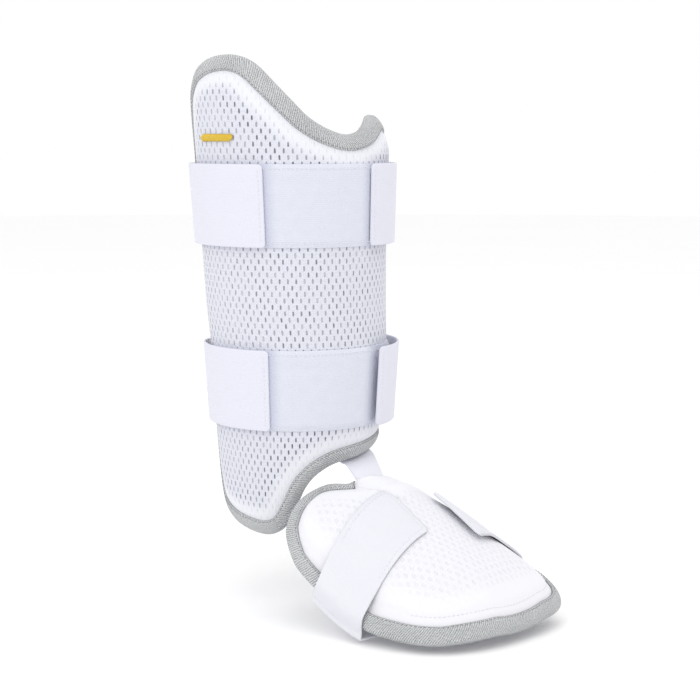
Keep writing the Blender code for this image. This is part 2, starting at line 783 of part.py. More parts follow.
def main():
    """Builds every piece of the leg guard."""
    for item in list(bpy.data.objects):
        bpy.data.objects.remove(item, do_unlink=True)
    bpy.context.scene.collection.children.link(bpy.data.collections.new(COLLECTION))
    shell_rim = build_shell()
    build_tape("shin_binding", shell_rim, True)
    build_band("upper_band", UPPER_BAND_Z)
    build_band("lower_band", LOWER_BAND_Z)
    build_strap("upper_strap", UPPER_BAND_Z, UPPER_TAB_INNER, UPPER_TAB_OUTER, UPPER_OUTER_SLACK)
    build_strap("lower_strap", LOWER_BAND_Z, LOWER_TAB_INNER, LOWER_TAB_OUTER, LOWER_OUTER_SLACK)
    build_bar()
    pad_rim = build_pad()
    build_tape("foot_binding", pad_tape_stations(pad_rim), False)
    build_instep_strap()
    build_foot_strap()


main()
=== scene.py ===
"""Batter's leg guard for the left leg, dressed and lit for its picture.

Each sub-assembly is a class: its sizes are fields, and its methods make the fine meshes that stand
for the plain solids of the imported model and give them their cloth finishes.

Frame, in metres: +Z runs up the leg, -Y points to the toes and +X to the outer side of the foot.
A cloth piece keeps a UV map named "cloth", in metres along and across its own weave, and a value
named "margin", its distance from the nearest hem, so that each weave has its real scale.
"""

import logging
import math
from collections.abc import Callable, Sequence
from dataclasses import dataclass, field
from enum import Enum

import bpy
import numpy as np
from mathutils import Matrix, Vector, kdtree


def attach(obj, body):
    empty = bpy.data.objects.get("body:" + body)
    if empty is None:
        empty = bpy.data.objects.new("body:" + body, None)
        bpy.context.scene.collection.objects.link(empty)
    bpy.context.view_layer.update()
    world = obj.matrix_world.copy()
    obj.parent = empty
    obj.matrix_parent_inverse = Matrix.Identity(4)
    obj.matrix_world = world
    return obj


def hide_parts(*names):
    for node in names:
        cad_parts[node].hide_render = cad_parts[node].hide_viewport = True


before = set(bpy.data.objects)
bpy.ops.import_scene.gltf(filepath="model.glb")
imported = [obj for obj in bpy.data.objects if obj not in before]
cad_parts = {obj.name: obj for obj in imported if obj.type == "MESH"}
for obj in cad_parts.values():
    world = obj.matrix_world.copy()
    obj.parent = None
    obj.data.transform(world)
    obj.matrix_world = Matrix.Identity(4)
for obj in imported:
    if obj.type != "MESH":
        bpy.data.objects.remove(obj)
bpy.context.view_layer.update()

Array = np.ndarray
Surface = Callable[[Array, Array], Array]
Socket = bpy.types.NodeSocket
Color = tuple[float, float, float]

log = logging.getLogger("leg_guard")


class Hold(Enum):
    """How a sheet of cloth is held."""

    LAID = "laid"
    STRETCHED = "stretched"


class Side(Enum):
    """The two sides of the foot."""

    INNER = -1.0
    OUTER = 1.0


# Plain geometry


def eased(share: Array | float) -> Array:
    """Smooth step from 0 to 1."""
    share = np.clip(share, 0.0, 1.0)
    return share * share * (3.0 - 2.0 * share)


def unit(vectors: Array) -> Array:
    """The vectors with length 1."""
    lengths = np.linalg.norm(vectors, axis=-1, keepdims=True)
    return vectors / np.maximum(lengths, 1e-12)


def smooth_loop(rows: Array, steps: int) -> Array:
    """Closed smooth curve through points.

    Args:
        rows: One point in each row.
        steps: Points from each row to the next.

    Returns:
        The curve's points, one in each row.
    """
    before = np.roll(rows, 1, axis=0)
    after = np.roll(rows, -1, axis=0)
    later = np.roll(rows, -2, axis=0)
    points = []
    for t in np.arange(steps) / steps:
        square = (2.0 * before - 5.0 * rows + 4.0 * after - later) * t ** 2
        cube = (3.0 * rows - before - 3.0 * after + later) * t ** 3
        points.append(0.5 * (2.0 * rows + (after - before) * t + square + cube))
    return np.stack(points, axis=1).reshape(-1, rows.shape[1])


def smooth_line(points: Array, steps: int) -> Array:
    """Open smooth curve through points.

    Args:
        points: The curve's points along the first axis.
        steps: Points from each given one to the next.

    Returns:
        The finer curve, with the same first and last point.
    """
    ends = [2.0 * points[:1] - points[1:2], points, 2.0 * points[-1:] - points[-2:-1]]
    rows = np.concatenate(ends)
    before, start, stop, after = rows[:-3], rows[1:-2], rows[2:-1], rows[3:]
    made = []
    for t in np.arange(steps) / steps:
        square = (2.0 * before - 5.0 * start + 4.0 * stop - after) * t ** 2
        cube = (3.0 * start - before - 3.0 * stop + after) * t ** 3
        made.append(0.5 * (2.0 * start + (stop - before) * t + square + cube))
    fine = np.stack(made, axis=1).reshape((-1,) + points.shape[1:])
    return np.concatenate([fine, points[-1:]])


def lengths_along(line: Array) -> Array:
    """Distance of each point of a line from its start."""
    steps = np.linalg.norm(np.diff(line, axis=0), axis=-1)
    return np.concatenate(([0.0], np.cumsum(steps)))


def even_points(curve: Array, count: int) -> Array:
    """The open curve with count + 1 points, evenly along its first two columns.

    Args:
        curve: The curve's points.
        count: Steps that it is cut into.

    Returns:
        The new points.
    """
    length = lengths_along(curve[:, :2])
    targets = np.linspace(0.0, length[-1], count + 1)
    return np.stack([np.interp(targets, length, column) for column in curve.T], axis=1)


def hemmed(length: float, hem: float, cells: int) -> Array:
    """Places from 0 to a length, closer together over a hem at both ends.

    Args:
        length: The whole length.
        hem: Width of each hem.
        cells: Steps between the hems.

    Returns:
        The places in order.
    """
    near = hem * np.array([0.0, 0.12, 0.35, 0.65])
    middle = np.linspace(hem, length - hem, cells + 1)
    return np.concatenate([near, middle, length - near[::-1]])


def grid_faces(rows: int, columns: int, first: int = 0) -> Array:
    """Quads of a grid of vertices.

    Args:
        rows: Vertices along the first axis.
        columns: Vertices along the second axis.
        first: Index of the first vertex.

    Returns:
        Four indices in each row.
    """
    index = first + np.arange(rows * columns).reshape(rows, columns)
    quads = np.stack([index[:-1, :-1], index[1:, :-1], index[1:, 1:], index[:-1, 1:]], axis=-1)
    return quads.reshape(-1, 4)


def distance_to_ring(places: Array, ring: Array) -> Array:
    """Distance in a plane from each place to a closed ring of points.

    Args:
        places: The places.
        ring: The ring's points in order.

    Returns:
        One distance for each place.
    """
    along = np.roll(ring, -1, axis=0) - ring
    size = np.sum(along * along, axis=1)
    found = []
    for part in np.array_split(places, 40):
        to_place = part[:, None, :] - ring[None]
        share = np.clip(np.sum(to_place * along, axis=2) / size, 0.0, 1.0)
        gaps = to_place - share[..., None] * along
        found.append(np.linalg.norm(gaps, axis=2).min(axis=1))
    return np.concatenate(found)


def vertex_places(mesh: bpy.types.Mesh) -> Array:
    """Places of a mesh's vertices."""
    places = np.zeros(len(mesh.vertices) * 3, np.float32)
    mesh.vertices.foreach_get("co", places)
    return places.reshape(-1, 3).astype(float)


def nearby(known: Array, wanted: Array, count: int) -> tuple[Array, Array]:
    """Nearest known places of each wanted one.

    Args:
        known: Places to search.
        wanted: Places to find them for.
        count: How many to find.

    Returns:
        The share of each found place, greater when nearer, and its index.
    """
    tree = kdtree.KDTree(len(known))
    for index, place in enumerate(known):
        tree.insert(place, index)
    tree.balance()
    found = [tree.find_n(place, count) for place in wanted]
    indices = np.array([[item[1] for item in row] for row in found])
    gaps = np.array([[item[2] for item in row] for row in found])
    shares = 1.0 / (gaps + 0.002) ** 2
    return shares / shares.sum(axis=1, keepdims=True), indices


def grid_normals(points: Array, closed: bool = False) -> Array:
    """Unit normals of a grid of points.

    Args:
        points: The grid, with its two axes first.
        closed: Whether the last row joins the first.

    Returns:
        One normal for each point.
    """
    if closed:
        along = np.roll(points, -1, axis=0) - np.roll(points, 1, axis=0)
    else:
        along = np.gradient(points, axis=0)
    across = np.gradient(points, axis=1)
    return unit(np.cross(along, across))


# Finishes


class Loom:
    """Lays out the nodes of one procedural cloth material."""

    def __init__(self, name: str) -> None:
        """Starts a material with only its output and its cloth shader."""
        self.material = bpy.data.materials.new(name)
        self.material.use_nodes = True
        self.tree = self.material.node_tree
        self.shader = self.tree.nodes["Principled BSDF"]

    def node(self, kind: str, **settings: object) -> bpy.types.Node:
        """A new node with its settings."""
        made = self.tree.nodes.new(kind)
        for key, value in settings.items():
            setattr(made, key, value)
        return made

    def feed(self, socket: Socket, value: Socket | float | Color) -> None:
        """Links or sets an input."""
        if isinstance(value, bpy.types.NodeSocket):
            self.tree.links.new(value, socket)
        elif isinstance(value, tuple):
            socket.default_value = (*value, 1.0)
        else:
            socket.default_value = value

    def math(self, operation: str, *values: Socket | float) -> Socket:
        """One step of arithmetic.

        Args:
            operation: The step's name, as the Math node has it.
            values: Its one, two or three inputs.

        Returns:
            The result.
        """
        made = self.node("ShaderNodeMath", operation=operation)
        for socket, value in zip(made.inputs, values):
            self.feed(socket, value)
        return made.outputs[0]

    def ramp(self, value: Socket, low: float, high: float) -> Socket:
        """Smooth rise from 0 at low to 1 at high."""
        made = self.node("ShaderNodeMapRange", interpolation_type="SMOOTHSTEP")
        self.feed(made.inputs["Value"], value)
        self.feed(made.inputs["From Min"], low)
        self.feed(made.inputs["From Max"], high)
        return made.outputs["Result"]

    def weave(self) -> tuple[Socket, Socket]:
        """Places along and across the weave, in metres."""
        split = self.node("ShaderNodeSeparateXYZ")
        self.feed(split.inputs[0], self.node("ShaderNodeUVMap", uv_map="cloth").outputs[0])
        return split.outputs[0], split.outputs[1]

    def margin(self) -> Socket:
        """Distance from the nearest hem, in metres."""
        return self.node("ShaderNodeAttribute", attribute_name="margin").outputs["Fac"]

    def noise(self, size: float, detail: float = 2.0, stretch: Color = (1.0, 1.0, 1.0)) -> Socket:
        """Soft noise in the weave's plane.

        Args:
            size: Width of its grains, in metres.
            detail: Its finer layers.
            stretch: Scale along each axis.

        Returns:
            The noise, from 0 to 1.
        """
        place = self.node("ShaderNodeMapping")
        self.feed(place.inputs[0], self.node("ShaderNodeUVMap", uv_map="cloth").outputs[0])
        place.inputs["Scale"].default_value = stretch
        made = self.node("ShaderNodeTexNoise")
        self.feed(made.inputs["Vector"], place.outputs[0])
        made.inputs["Scale"].default_value = 1.0 / size
        made.inputs["Detail"].default_value = detail
        return made.outputs["Fac"]

    def ridges(self, place: Socket, pitch: float) -> Socket:
        """Rounded ridges from 0 to 1 along a place."""
        turn = self.math("MULTIPLY", place, 2.0 * math.pi / pitch)
        return self.math("MULTIPLY_ADD", self.math("SINE", turn), 0.5, 0.5)

    def blend(self, share: Socket, low: Socket | Color, high: Socket | Color) -> Socket:
        """Colour between two others."""
        made = self.node("ShaderNodeMix", data_type="RGBA")
        self.feed(made.inputs[0], share)
        self.feed(made.inputs[6], low)
        self.feed(made.inputs[7], high)
        return made.outputs[2]

    def finish(self, color: Socket | Color, roughness: float, height: Socket, relief: float) -> None:
        """Joins the weave to the shader.

        Args:
            color: Colour of the cloth.
            roughness: Its roughness.
            height: Relief from 0 to 1.
            relief: Height of the relief, in metres.
        """
        bump = self.node("ShaderNodeBump")
        bump.inputs["Strength"].default_value = 1.0
        bump.inputs["Distance"].default_value = relief
        self.feed(bump.inputs["Height"], height)
        self.feed(self.shader.inputs["Normal"], bump.outputs[0])
        self.feed(self.shader.inputs["Base Color"], color)
        self.shader.inputs["Roughness"].default_value = roughness
        self.shader.inputs["Specular IOR Level"].default_value = 0.25


@dataclass(frozen=True)
class AirMesh:
    """Spacer mesh with staggered upright slits that close near the hems."""

    cloth: Color = (0.735, 0.742, 0.805)
    shade: Color = (0.610, 0.622, 0.700)
    # Painted shade seen in the slits, where the back layer lies in shadow.
    hole: Color = (0.160, 0.162, 0.210)
    edge_cloth: Color = (0.790, 0.795, 0.842)
    column_pitch: float = 0.0052
    row_pitch: float = 0.0047
    slit_width: float = 0.0011
    slit_height: float = 0.0037
    margin_from: float = 0.0150
    margin_to: float = 0.0250
    first_rows: float = 0.60
    first_rows_to: float = 0.0400
    fade_from: float = -0.110
    fade_to: float = -0.055
    knit_pitch: float = 0.0013
    relief: float = 0.0007

    def slits(self, loom: Loom) -> tuple[Socket, Socket]:
        """Narrow slits, 1 inside each hole, and how far each hole stands open."""
        along, across = loom.weave()
        column = loom.math("DIVIDE", along, self.column_pitch)
        row = loom.math("DIVIDE", across, self.row_pitch)
        shift = loom.math("FLOORED_MODULO", loom.math("FLOOR", row), 2.0)
        column = loom.math("MULTIPLY_ADD", shift, 0.5, column)
        cell = loom.node("ShaderNodeCombineXYZ")
        loom.feed(cell.inputs[0], loom.math("FLOOR", column))
        loom.feed(cell.inputs[1], loom.math("FLOOR", row))
        chance = loom.node("ShaderNodeTexWhiteNoise", noise_dimensions="2D")
        loom.feed(chance.inputs["Vector"], cell.outputs[0])
        side = loom.math("SUBTRACT", loom.math("FRACT", column), 0.5)
        up = loom.math("SUBTRACT", loom.math("FRACT", row), 0.5)
        side = loom.math("MULTIPLY", side, 2.0 * self.column_pitch / self.slit_width)
        up = loom.math("MULTIPLY", up, 2.0 * self.row_pitch / self.slit_height)
        far = loom.math("ADD", loom.math("POWER", loom.math("ABSOLUTE", side), 2.0),
                        loom.math("POWER", loom.math("ABSOLUTE", up), 4.0))
        far = loom.math("MULTIPLY_ADD", loom.noise(0.0011), 1.5, loom.math("SUBTRACT", far, 0.7))
        open_share = loom.math("MULTIPLY_ADD", chance.outputs["Value"], 0.62, 0.28)
        return loom.math("SUBTRACT", 1.0, loom.ramp(far, 0.30, 1.30)), open_share

    def material(self, name: str) -> bpy.types.Material:
        """The finished material.

        Args:
            name: Its name.

        Returns:
            The material.
        """
        loom = Loom(name)
        along, across = loom.weave()
        slits, open_share = self.slits(loom)
        inside = loom.ramp(loom.margin(), self.margin_from, self.margin_to)
        slits = loom.math("MULTIPLY", slits, loom.math("MULTIPLY_ADD", inside, 0.9, 0.1))
        fade = loom.math("MULTIPLY_ADD", loom.ramp(along, self.fade_from, self.fade_to), 0.50, 0.50)
        first_rows = loom.ramp(loom.margin(), self.margin_to, self.first_rows_to)
        first_rows = loom.math("SUBTRACT", 1.0, first_rows)
        fade = loom.math("MULTIPLY_ADD", first_rows, self.first_rows, fade)
        # Painted shade in the slits, at half strength towards the low end along the cloth and stronger in
        # the rows just inside the hems.
        hole_shade_mask = loom.math("MULTIPLY", loom.math("MULTIPLY", slits, fade), open_share)
        knit = loom.ridges(along, self.knit_pitch)
        rows = loom.ridges(across, self.knit_pitch * 0.8)
        threads = loom.math("MULTIPLY", knit, loom.math("MULTIPLY_ADD", rows, 0.5, 0.5))
        fuzz = loom.ramp(loom.noise(0.0014), 0.30, 0.65)
        tint = loom.math("MULTIPLY_ADD", threads, 0.50, loom.math("MULTIPLY", fuzz, 0.55))
        cloth = loom.blend(tint, self.shade, self.cloth)
        cloth = loom.blend(loom.math("SUBTRACT", 1.0, inside), cloth, self.edge_cloth)
        color = loom.blend(hole_shade_mask, cloth, self.hole)
        height = loom.math("MULTIPLY_ADD", threads, 0.16, loom.math("MULTIPLY", slits, -0.8))
        dimples = loom.math("MULTIPLY", loom.noise(0.0060), 0.35)
        loom.finish(color, 0.85, loom.math("ADD", height, dimples), self.relief)
        loom.shader.inputs["Sheen Weight"].default_value = 0.25
        loom.shader.inputs["Sheen Roughness"].default_value = 0.5
        return loom.material


@dataclass(frozen=True)
class Ribbed:
    """Woven tape or webbing with ridges that lean across it."""

    cloth: Color
    shade: Color
    pitch: float
    slope: float = 0.0
    relief: float = 0.00022
    grain: float = 0.0010
    cross_pitch: float = 0.0
    roughness: float = 0.8
    sheen: float = 0.2
    heather: float = 0.3

    def material(self, name: str) -> bpy.types.Material:
        """The finished material.

        Args:
            name: Its name.

        Returns:
            The material.
        """
        loom = Loom(name)
        along, across = loom.weave()
        leaning = loom.math("MULTIPLY_ADD", across, self.slope, along)
        wobble = loom.math("MULTIPLY", loom.noise(0.0050, 1.0), self.pitch * 0.8)
        ribs = loom.ridges(loom.math("ADD", leaning, wobble), self.pitch)
        threads = ribs
        if self.cross_pitch:
            cross = loom.ridges(across, self.cross_pitch)
            threads = loom.math("MULTIPLY_ADD", cross, 0.35, loom.math("MULTIPLY", ribs, 0.65))
        fuzz = loom.ramp(loom.noise(self.grain, 3.0), 0.5 - self.heather, 0.5 + self.heather)
        tint = loom.math("MULTIPLY_ADD", threads, 0.55, loom.math("MULTIPLY", fuzz, 0.38))
        worn = loom.ramp(loom.noise(0.030, 2.0), 0.25, 0.75)
        tint = loom.math("MULTIPLY_ADD", worn, 0.12, tint)
        color = loom.blend(tint, self.shade, self.cloth)
        height = loom.math("MULTIPLY_ADD", fuzz, 0.35, threads)
        loom.finish(color, self.roughness, height, self.relief)
        loom.shader.inputs["Sheen Weight"].default_value = self.sheen
        loom.shader.inputs["Sheen Roughness"].default_value = 0.45
        return loom.material


@dataclass(frozen=True)
class LoopCloth:
    """Brushed loop cloth, soft and faintly mottled over the mesh below it."""

    cloth: Color = (0.715, 0.735, 0.812)
    shade: Color = (0.590, 0.612, 0.700)
    loop_size: float = 0.0009
    rib_pitch: float = 0.0015
    column_pitch: float = 0.0052
    row_pitch: float = 0.0047
    relief: float = 0.00032
    # Painted shade on the band beside each tab's end, where the tab's thickness shades it.
    tab_shade: Color = (0.470, 0.485, 0.620)
    tab_shade_width: float = 0.0100
    tab_shade_share: float = 0.60

    def shade_beside_tabs(self, loom: Loom, along: Socket, tabs: tuple[float, float]) -> Socket:
        """Painted shade beside each tab, where the tab's thickness shades the band.

        Args:
            loom: The material in the making.
            along: Place along the cloth.
            tabs: Where the inner and the outer tab end.

        Returns:
            1 at a tab's end, and 0 a little way from it.
        """
        inner = loom.math("SUBTRACT", 1.0, loom.ramp(along, tabs[0], tabs[0] + self.tab_shade_width))
        outer = loom.ramp(along, tabs[1] - self.tab_shade_width, tabs[1])
        return loom.math("MULTIPLY", loom.math("MAXIMUM", inner, outer), self.tab_shade_share)

    def material(self, name: str, tabs: tuple[float, float]) -> bpy.types.Material:
        """The finished material.

        Args:
            name: Its name.
            tabs: Where the inner and the outer tab end along the cloth.

        Returns:
            The material.
        """
        loom = Loom(name)
        along, across = loom.weave()
        loops = loom.noise(self.loop_size, 3.0, (1.0, 1.5, 1.0))
        ribs = loom.ridges(across, self.rib_pitch)
        diagonal = loom.math("MULTIPLY", loom.ridges(along, self.column_pitch),
                             loom.ridges(across, self.row_pitch * 2.0))
        soft = loom.noise(0.0080, 2.0)
        tint = loom.math("MULTIPLY_ADD", loops, 0.75, loom.math("MULTIPLY", ribs, 0.18))
        tint = loom.math("MULTIPLY_ADD", soft, 0.35, tint)
        color = loom.blend(tint, self.shade, self.cloth)
        # Painted shade on the band beside the tabs.
        color = loom.blend(self.shade_beside_tabs(loom, along, tabs), color, self.tab_shade)
        height = loom.math("MULTIPLY_ADD", loops, 0.8, loom.math("MULTIPLY", ribs, 0.25))
        height = loom.math("MULTIPLY_ADD", diagonal, 0.5, height)
        loom.finish(color, 0.95, height, self.relief)
        loom.shader.inputs["Sheen Weight"].default_value = 0.5
        loom.shader.inputs["Sheen Roughness"].default_value = 0.6
        return loom.material


@dataclass(frozen=True)
class Lining:
    """Smooth knitted lining on the side that faces the leg."""

    cloth: Color = (0.760, 0.765, 0.820)
    shade: Color = (0.600, 0.610, 0.670)
    knit_pitch: float = 0.0016
    relief: float = 0.00018

    def material(self, name: str) -> bpy.types.Material:
        """The finished material.

        Args:
            name: Its name.

        Returns:
            The material.
        """
        loom = Loom(name)
        along, across = loom.weave()
        waves = loom.math("MULTIPLY", loom.ridges(along, self.knit_pitch),
                          loom.ridges(across, self.knit_pitch))
        fuzz = loom.noise(0.0012, 3.0)
        tint = loom.math("MULTIPLY_ADD", waves, 0.5, loom.math("MULTIPLY", fuzz, 0.6))
        color = loom.blend(tint, self.shade, self.cloth)
        loom.finish(color, 0.9, loom.math("MULTIPLY_ADD", fuzz, 0.4, waves), self.relief)
        loom.shader.inputs["Sheen Weight"].default_value = 0.3
        return loom.material


@dataclass(frozen=True)
class Thread:
    """Sewing or embroidery thread, with its twist along each stitch."""

    cloth: Color
    shade: Color
    twist_pitch: float = 0.0006
    roughness: float = 0.6
    sheen: float = 0.1

    def material(self, name: str) -> bpy.types.Material:
        """The finished material.

        Args:
            name: Its name.

        Returns:
            The material.
        """
        loom = Loom(name)
        along, across = loom.weave()
        twist = loom.ridges(loom.math("ADD", along, across), self.twist_pitch)
        color = loom.blend(twist, self.shade, self.cloth)
        loom.finish(color, self.roughness, twist, 0.00006)
        loom.shader.inputs["Sheen Weight"].default_value = self.sheen
        return loom.material


@dataclass(frozen=True)
class Finishes:
    """The cloths and threads of the whole guard."""

    mesh: AirMesh = AirMesh()
    foot_mesh: AirMesh = AirMesh(
        # A fainter painted shade in the foot mesh's slits.
        cloth=(0.800, 0.800, 0.836), shade=(0.740, 0.740, 0.782), hole=(0.715, 0.715, 0.762),
        edge_cloth=(0.800, 0.800, 0.836),
        slit_width=0.0018, slit_height=0.0032, relief=0.0003, fade_from=-1.0, fade_to=-0.9,
        first_rows=0.0)
    lining: Lining = Lining()
    tape: Ribbed = Ribbed(
        cloth=(0.760, 0.772, 0.782), shade=(0.225, 0.235, 0.245), pitch=0.0017, slope=0.75,
        relief=0.00045, grain=0.0009, heather=0.13)
    loop: LoopCloth = LoopCloth()
    elastic: Ribbed = Ribbed(
        cloth=(0.755, 0.757, 0.838), shade=(0.692, 0.695, 0.776), pitch=0.0011, cross_pitch=0.0016,
        relief=0.00012)
    webbing: Ribbed = Ribbed(
        cloth=(0.772, 0.775, 0.820), shade=(0.718, 0.722, 0.776), pitch=0.0010, slope=1.0,
        relief=0.00010)
    # Lighter than the other webbing: painted light that lifts the shade the short strap lies in.
    short_webbing_painted_light: Ribbed = Ribbed(
        cloth=(0.845, 0.850, 0.915), shade=(0.785, 0.790, 0.865), pitch=0.0010, cross_pitch=0.0014,
        relief=0.00010)
    white_thread: Thread = Thread(cloth=(0.86, 0.86, 0.90), shade=(0.72, 0.72, 0.78))
    grey_thread: Thread = Thread(cloth=(0.33, 0.34, 0.35), shade=(0.17, 0.18, 0.19))
    gold_thread: Thread = Thread(
        cloth=(0.900, 0.680, 0.070), shade=(0.560, 0.330, 0.020), roughness=0.40, sheen=0.1)


# Forms of the leg and of the foot


@dataclass(frozen=True)
class LegForm:
    """The inner face of the shin shell: a tapering round, open at the back.

    Bearings are degrees from the toes towards the outer side of the foot.
    """

    height: float = 0.3560
    radius: float = 0.0600
    lip_lean: float = 0.0090
    lip_height: float = 0.0300
    lip_top_share: float = 0.37
    lip_from: float = -25.0
    lip_to: float = 100.0
    lip_spreads: tuple[float, float] = (60.0, 30.0)
    lip_most: float = 1.2
    lip_power: float = 1.6
    rows: tuple[tuple[float, float, float], ...] = (
        # height as a share of the shell's, radius and shift as shares of its radius
        (-0.520, 0.790, 0.036),
        (-0.407, 0.840, 0.038),
        (-0.306, 0.890, 0.040),
        (-0.101, 0.965, 0.041),
        (-0.027, 0.985, 0.022),
        (0.081, 1.003, 0.009),
        (0.295, 1.065, -0.011),
        (0.410, 1.125, -0.012),
        (0.520, 1.160, -0.012),
    )

    def radius_at(self, height: Array | float) -> Array:
        """Inner radius at a height."""
        rows = np.array(self.rows)
        return np.interp(height, rows[:, 0] * self.height, rows[:, 1]) * self.radius

    def shift_at(self, height: Array | float) -> Array:
        """The middle's shift to the outer side, and as much to the toes."""
        rows = np.array(self.rows)
        return np.interp(height, rows[:, 0] * self.height, rows[:, 2]) * self.radius

    def lip(self, bearing: Array, height: Array) -> Array:
        """How far the top leans in to the leg on the outer side.

        Args:
            bearing: Bearings in degrees.
            height: Heights in metres.

        Returns:
            The lean in metres.
        """
        first, last = self.lip_spreads
        reach = eased((bearing - self.lip_from) / first) * eased((self.lip_to - bearing) / last)
        top = self.height * self.lip_top_share
        rise = np.clip((height - top + self.lip_height) / self.lip_height, 0.0, self.lip_most)
        return self.lip_lean * reach * rise ** self.lip_power

    def at(self, bearing: Array, height: Array, off: Array | float = 0.0) -> Array:
        """Places off the inner face.

        Args:
            bearing: Bearings in degrees.
            height: Heights in metres.
            off: Distance outward from the face.

        Returns:
            Places, with x, y and z along the last axis.
        """
        radius = self.radius_at(height) + off - self.lip(bearing, height)
        shift = self.shift_at(height)
        angle = np.radians(bearing)
        x = shift + radius * np.sin(angle)
        y = -shift - radius * np.cos(angle)
        return np.stack(np.broadcast_arrays(x, y, height), axis=-1)


@dataclass(frozen=True)
class FootForm:
    """The inner face of the foot cover: a low arch from the ankle to the toes."""

    length: float = 0.1615
    half_width: float = 0.0720
    rear: float = 0.0520
    middle: float = 0.1300
    crest_side: float = 0.0130
    rear_z: float = -0.1340
    drop: float = 0.0940
    padding: float = 0.0080
    power: float = 2.2
    edge: tuple[tuple[float, float, float, int], ...] = (
        # side, forward and drop as shares, and whether a corner of the mesh lies there
        (0.056, 0.194, 0.021, 0), (-0.118, 0.144, 0.000, 0), (-0.278, 0.044, 0.085, 0),
        (-0.431, 0.003, 0.170, 0), (-0.625, -0.003, 0.255, 1), (-0.792, 0.025, 0.362, 0),
        (-0.903, 0.069, 0.457, 0), (-0.986, 0.156, 0.606, 0), (-0.993, 0.237, 0.713, 0),
        (-0.958, 0.325, 0.819, 0), (-0.917, 0.425, 0.926, 0), (-0.903, 0.550, 0.995, 0),
        (-0.861, 0.656, 1.021, 0), (-0.778, 0.781, 1.032, 0), (-0.639, 0.875, 1.032, 1),
        (-0.417, 0.944, 1.021, 0), (-0.111, 0.988, 1.005, 0), (0.222, 1.003, 0.995, 0),
        (0.583, 0.994, 0.995, 0), (0.861, 0.969, 0.989, 0), (1.021, 0.919, 0.947, 1),
        (1.083, 0.819, 0.883, 0), (1.083, 0.688, 0.809, 0), (1.049, 0.537, 0.723, 0),
        (0.972, 0.394, 0.617, 0), (0.833, 0.269, 0.468, 0), (0.639, 0.191, 0.298, 1),
        (0.444, 0.163, 0.160, 0), (0.250, 0.175, 0.064, 0),
    )
    crest: tuple[tuple[float, float], ...] = (
        # forward and drop as shares
        (-0.050, -0.106),
        (0.142, -0.037),
        (0.254, 0.027),
        (0.334, 0.096),
        (0.440, 0.191),
        (0.607, 0.346),
        (0.774, 0.489),
        (0.854, 0.574),
        (0.916, 0.660),
        (0.991, 0.809),
    )

    def edge_rows(self) -> Array:
        """The edge as side, forward and height, in metres."""
        rows = np.array(self.edge)
        columns = [rows[:, 0] * self.half_width, self.rear + rows[:, 1] * self.length,
                   self.rear_z - rows[:, 2] * self.drop]
        return np.stack(columns, axis=1)

    def loop(self) -> Array:
        """The edge as a fine closed curve."""
        return smooth_loop(self.edge_rows(), 12)

    def edge_at(self, side: Array, forward: Array) -> tuple[Array, Array, Array]:
        """The edge in the direction of each place.

        Args:
            side: Places to the outer side.
            forward: Places to the toes.

        Returns:
            The edge's reach from the crest's middle, its forward place and its height.
        """
        loop = self.loop()
        turns = np.arctan2(loop[:, 0] - self.crest_side, loop[:, 1] - self.middle)
        order = np.argsort(turns)
        reach = np.hypot(loop[:, 0] - self.crest_side, loop[:, 1] - self.middle)
        turn = np.arctan2(side - self.crest_side, forward - self.middle)
        found = [np.interp(turn, turns[order], column[order], period=2.0 * math.pi)
                 for column in (reach, loop[:, 1], loop[:, 2])]
        return found[0], found[1], found[2]

    def crest_height(self, forward: Array) -> Array:
        """Height of the crest on the inner face.

        Args:
            forward: Places to the toes.

        Returns:
            Heights in metres.
        """
        rows = smooth_line(np.array(self.crest), 6)
        share = (forward - self.rear) / self.length
        return self.rear_z - np.interp(share, rows[:, 0], rows[:, 1]) * self.drop - self.padding

    def face(self, side: Array, forward: Array) -> Array:
        """Places on the inner face.

        Args:
            side: Places to the outer side.
            forward: Places to the toes.

        Returns:
            Places, with x, y and z along the last axis.
        """
        reach, edge_forward, edge_height = self.edge_at(side, forward)
        share = np.hypot(side - self.crest_side, forward - self.middle) / reach
        rise = (edge_height - self.crest_height(edge_forward)) * share ** self.power
        height = self.crest_height(forward) + rise
        return np.stack(np.broadcast_arrays(side, -forward, height), axis=-1)

    def normal(self, side: Array, forward: Array, step: float = 0.002) -> Array:
        """Upward normals of the inner face."""
        across = self.face(side + step, forward) - self.face(side - step, forward)
        along = self.face(side, forward + step) - self.face(side, forward - step)
        return unit(np.cross(along, across))

    def at(self, side: Array, forward: Array, off: Array | float = 0.0) -> Array:
        """Places off the inner face.

        Args:
            side: Places to the outer side.
            forward: Places to the toes.
            off: Distance outward from the face.

        Returns:
            Places, with x, y and z along the last axis.
        """
        side, forward = np.broadcast_arrays(side, forward)
        off = np.broadcast_to(off, side.shape)
        return self.face(side, forward) + self.normal(side, forward) * off[..., None]

    def edge_side(self, forward: Array, side: Side) -> tuple[Array, Array]:
        """Place and height of the edge on one side.

        Args:
            forward: Places to the toes.
            side: Which side of the foot.

        Returns:
            The edge's side places and its heights.
        """
        loop = self.loop()
        one_side = loop[loop[:, 0] * side.value > self.half_width * 0.5]
        rows = one_side[np.argsort(one_side[:, 1])]
        return np.interp(forward, rows[:, 1], rows[:, 0]), np.interp(forward, rows[:, 1], rows[:, 2])


# Making of meshes


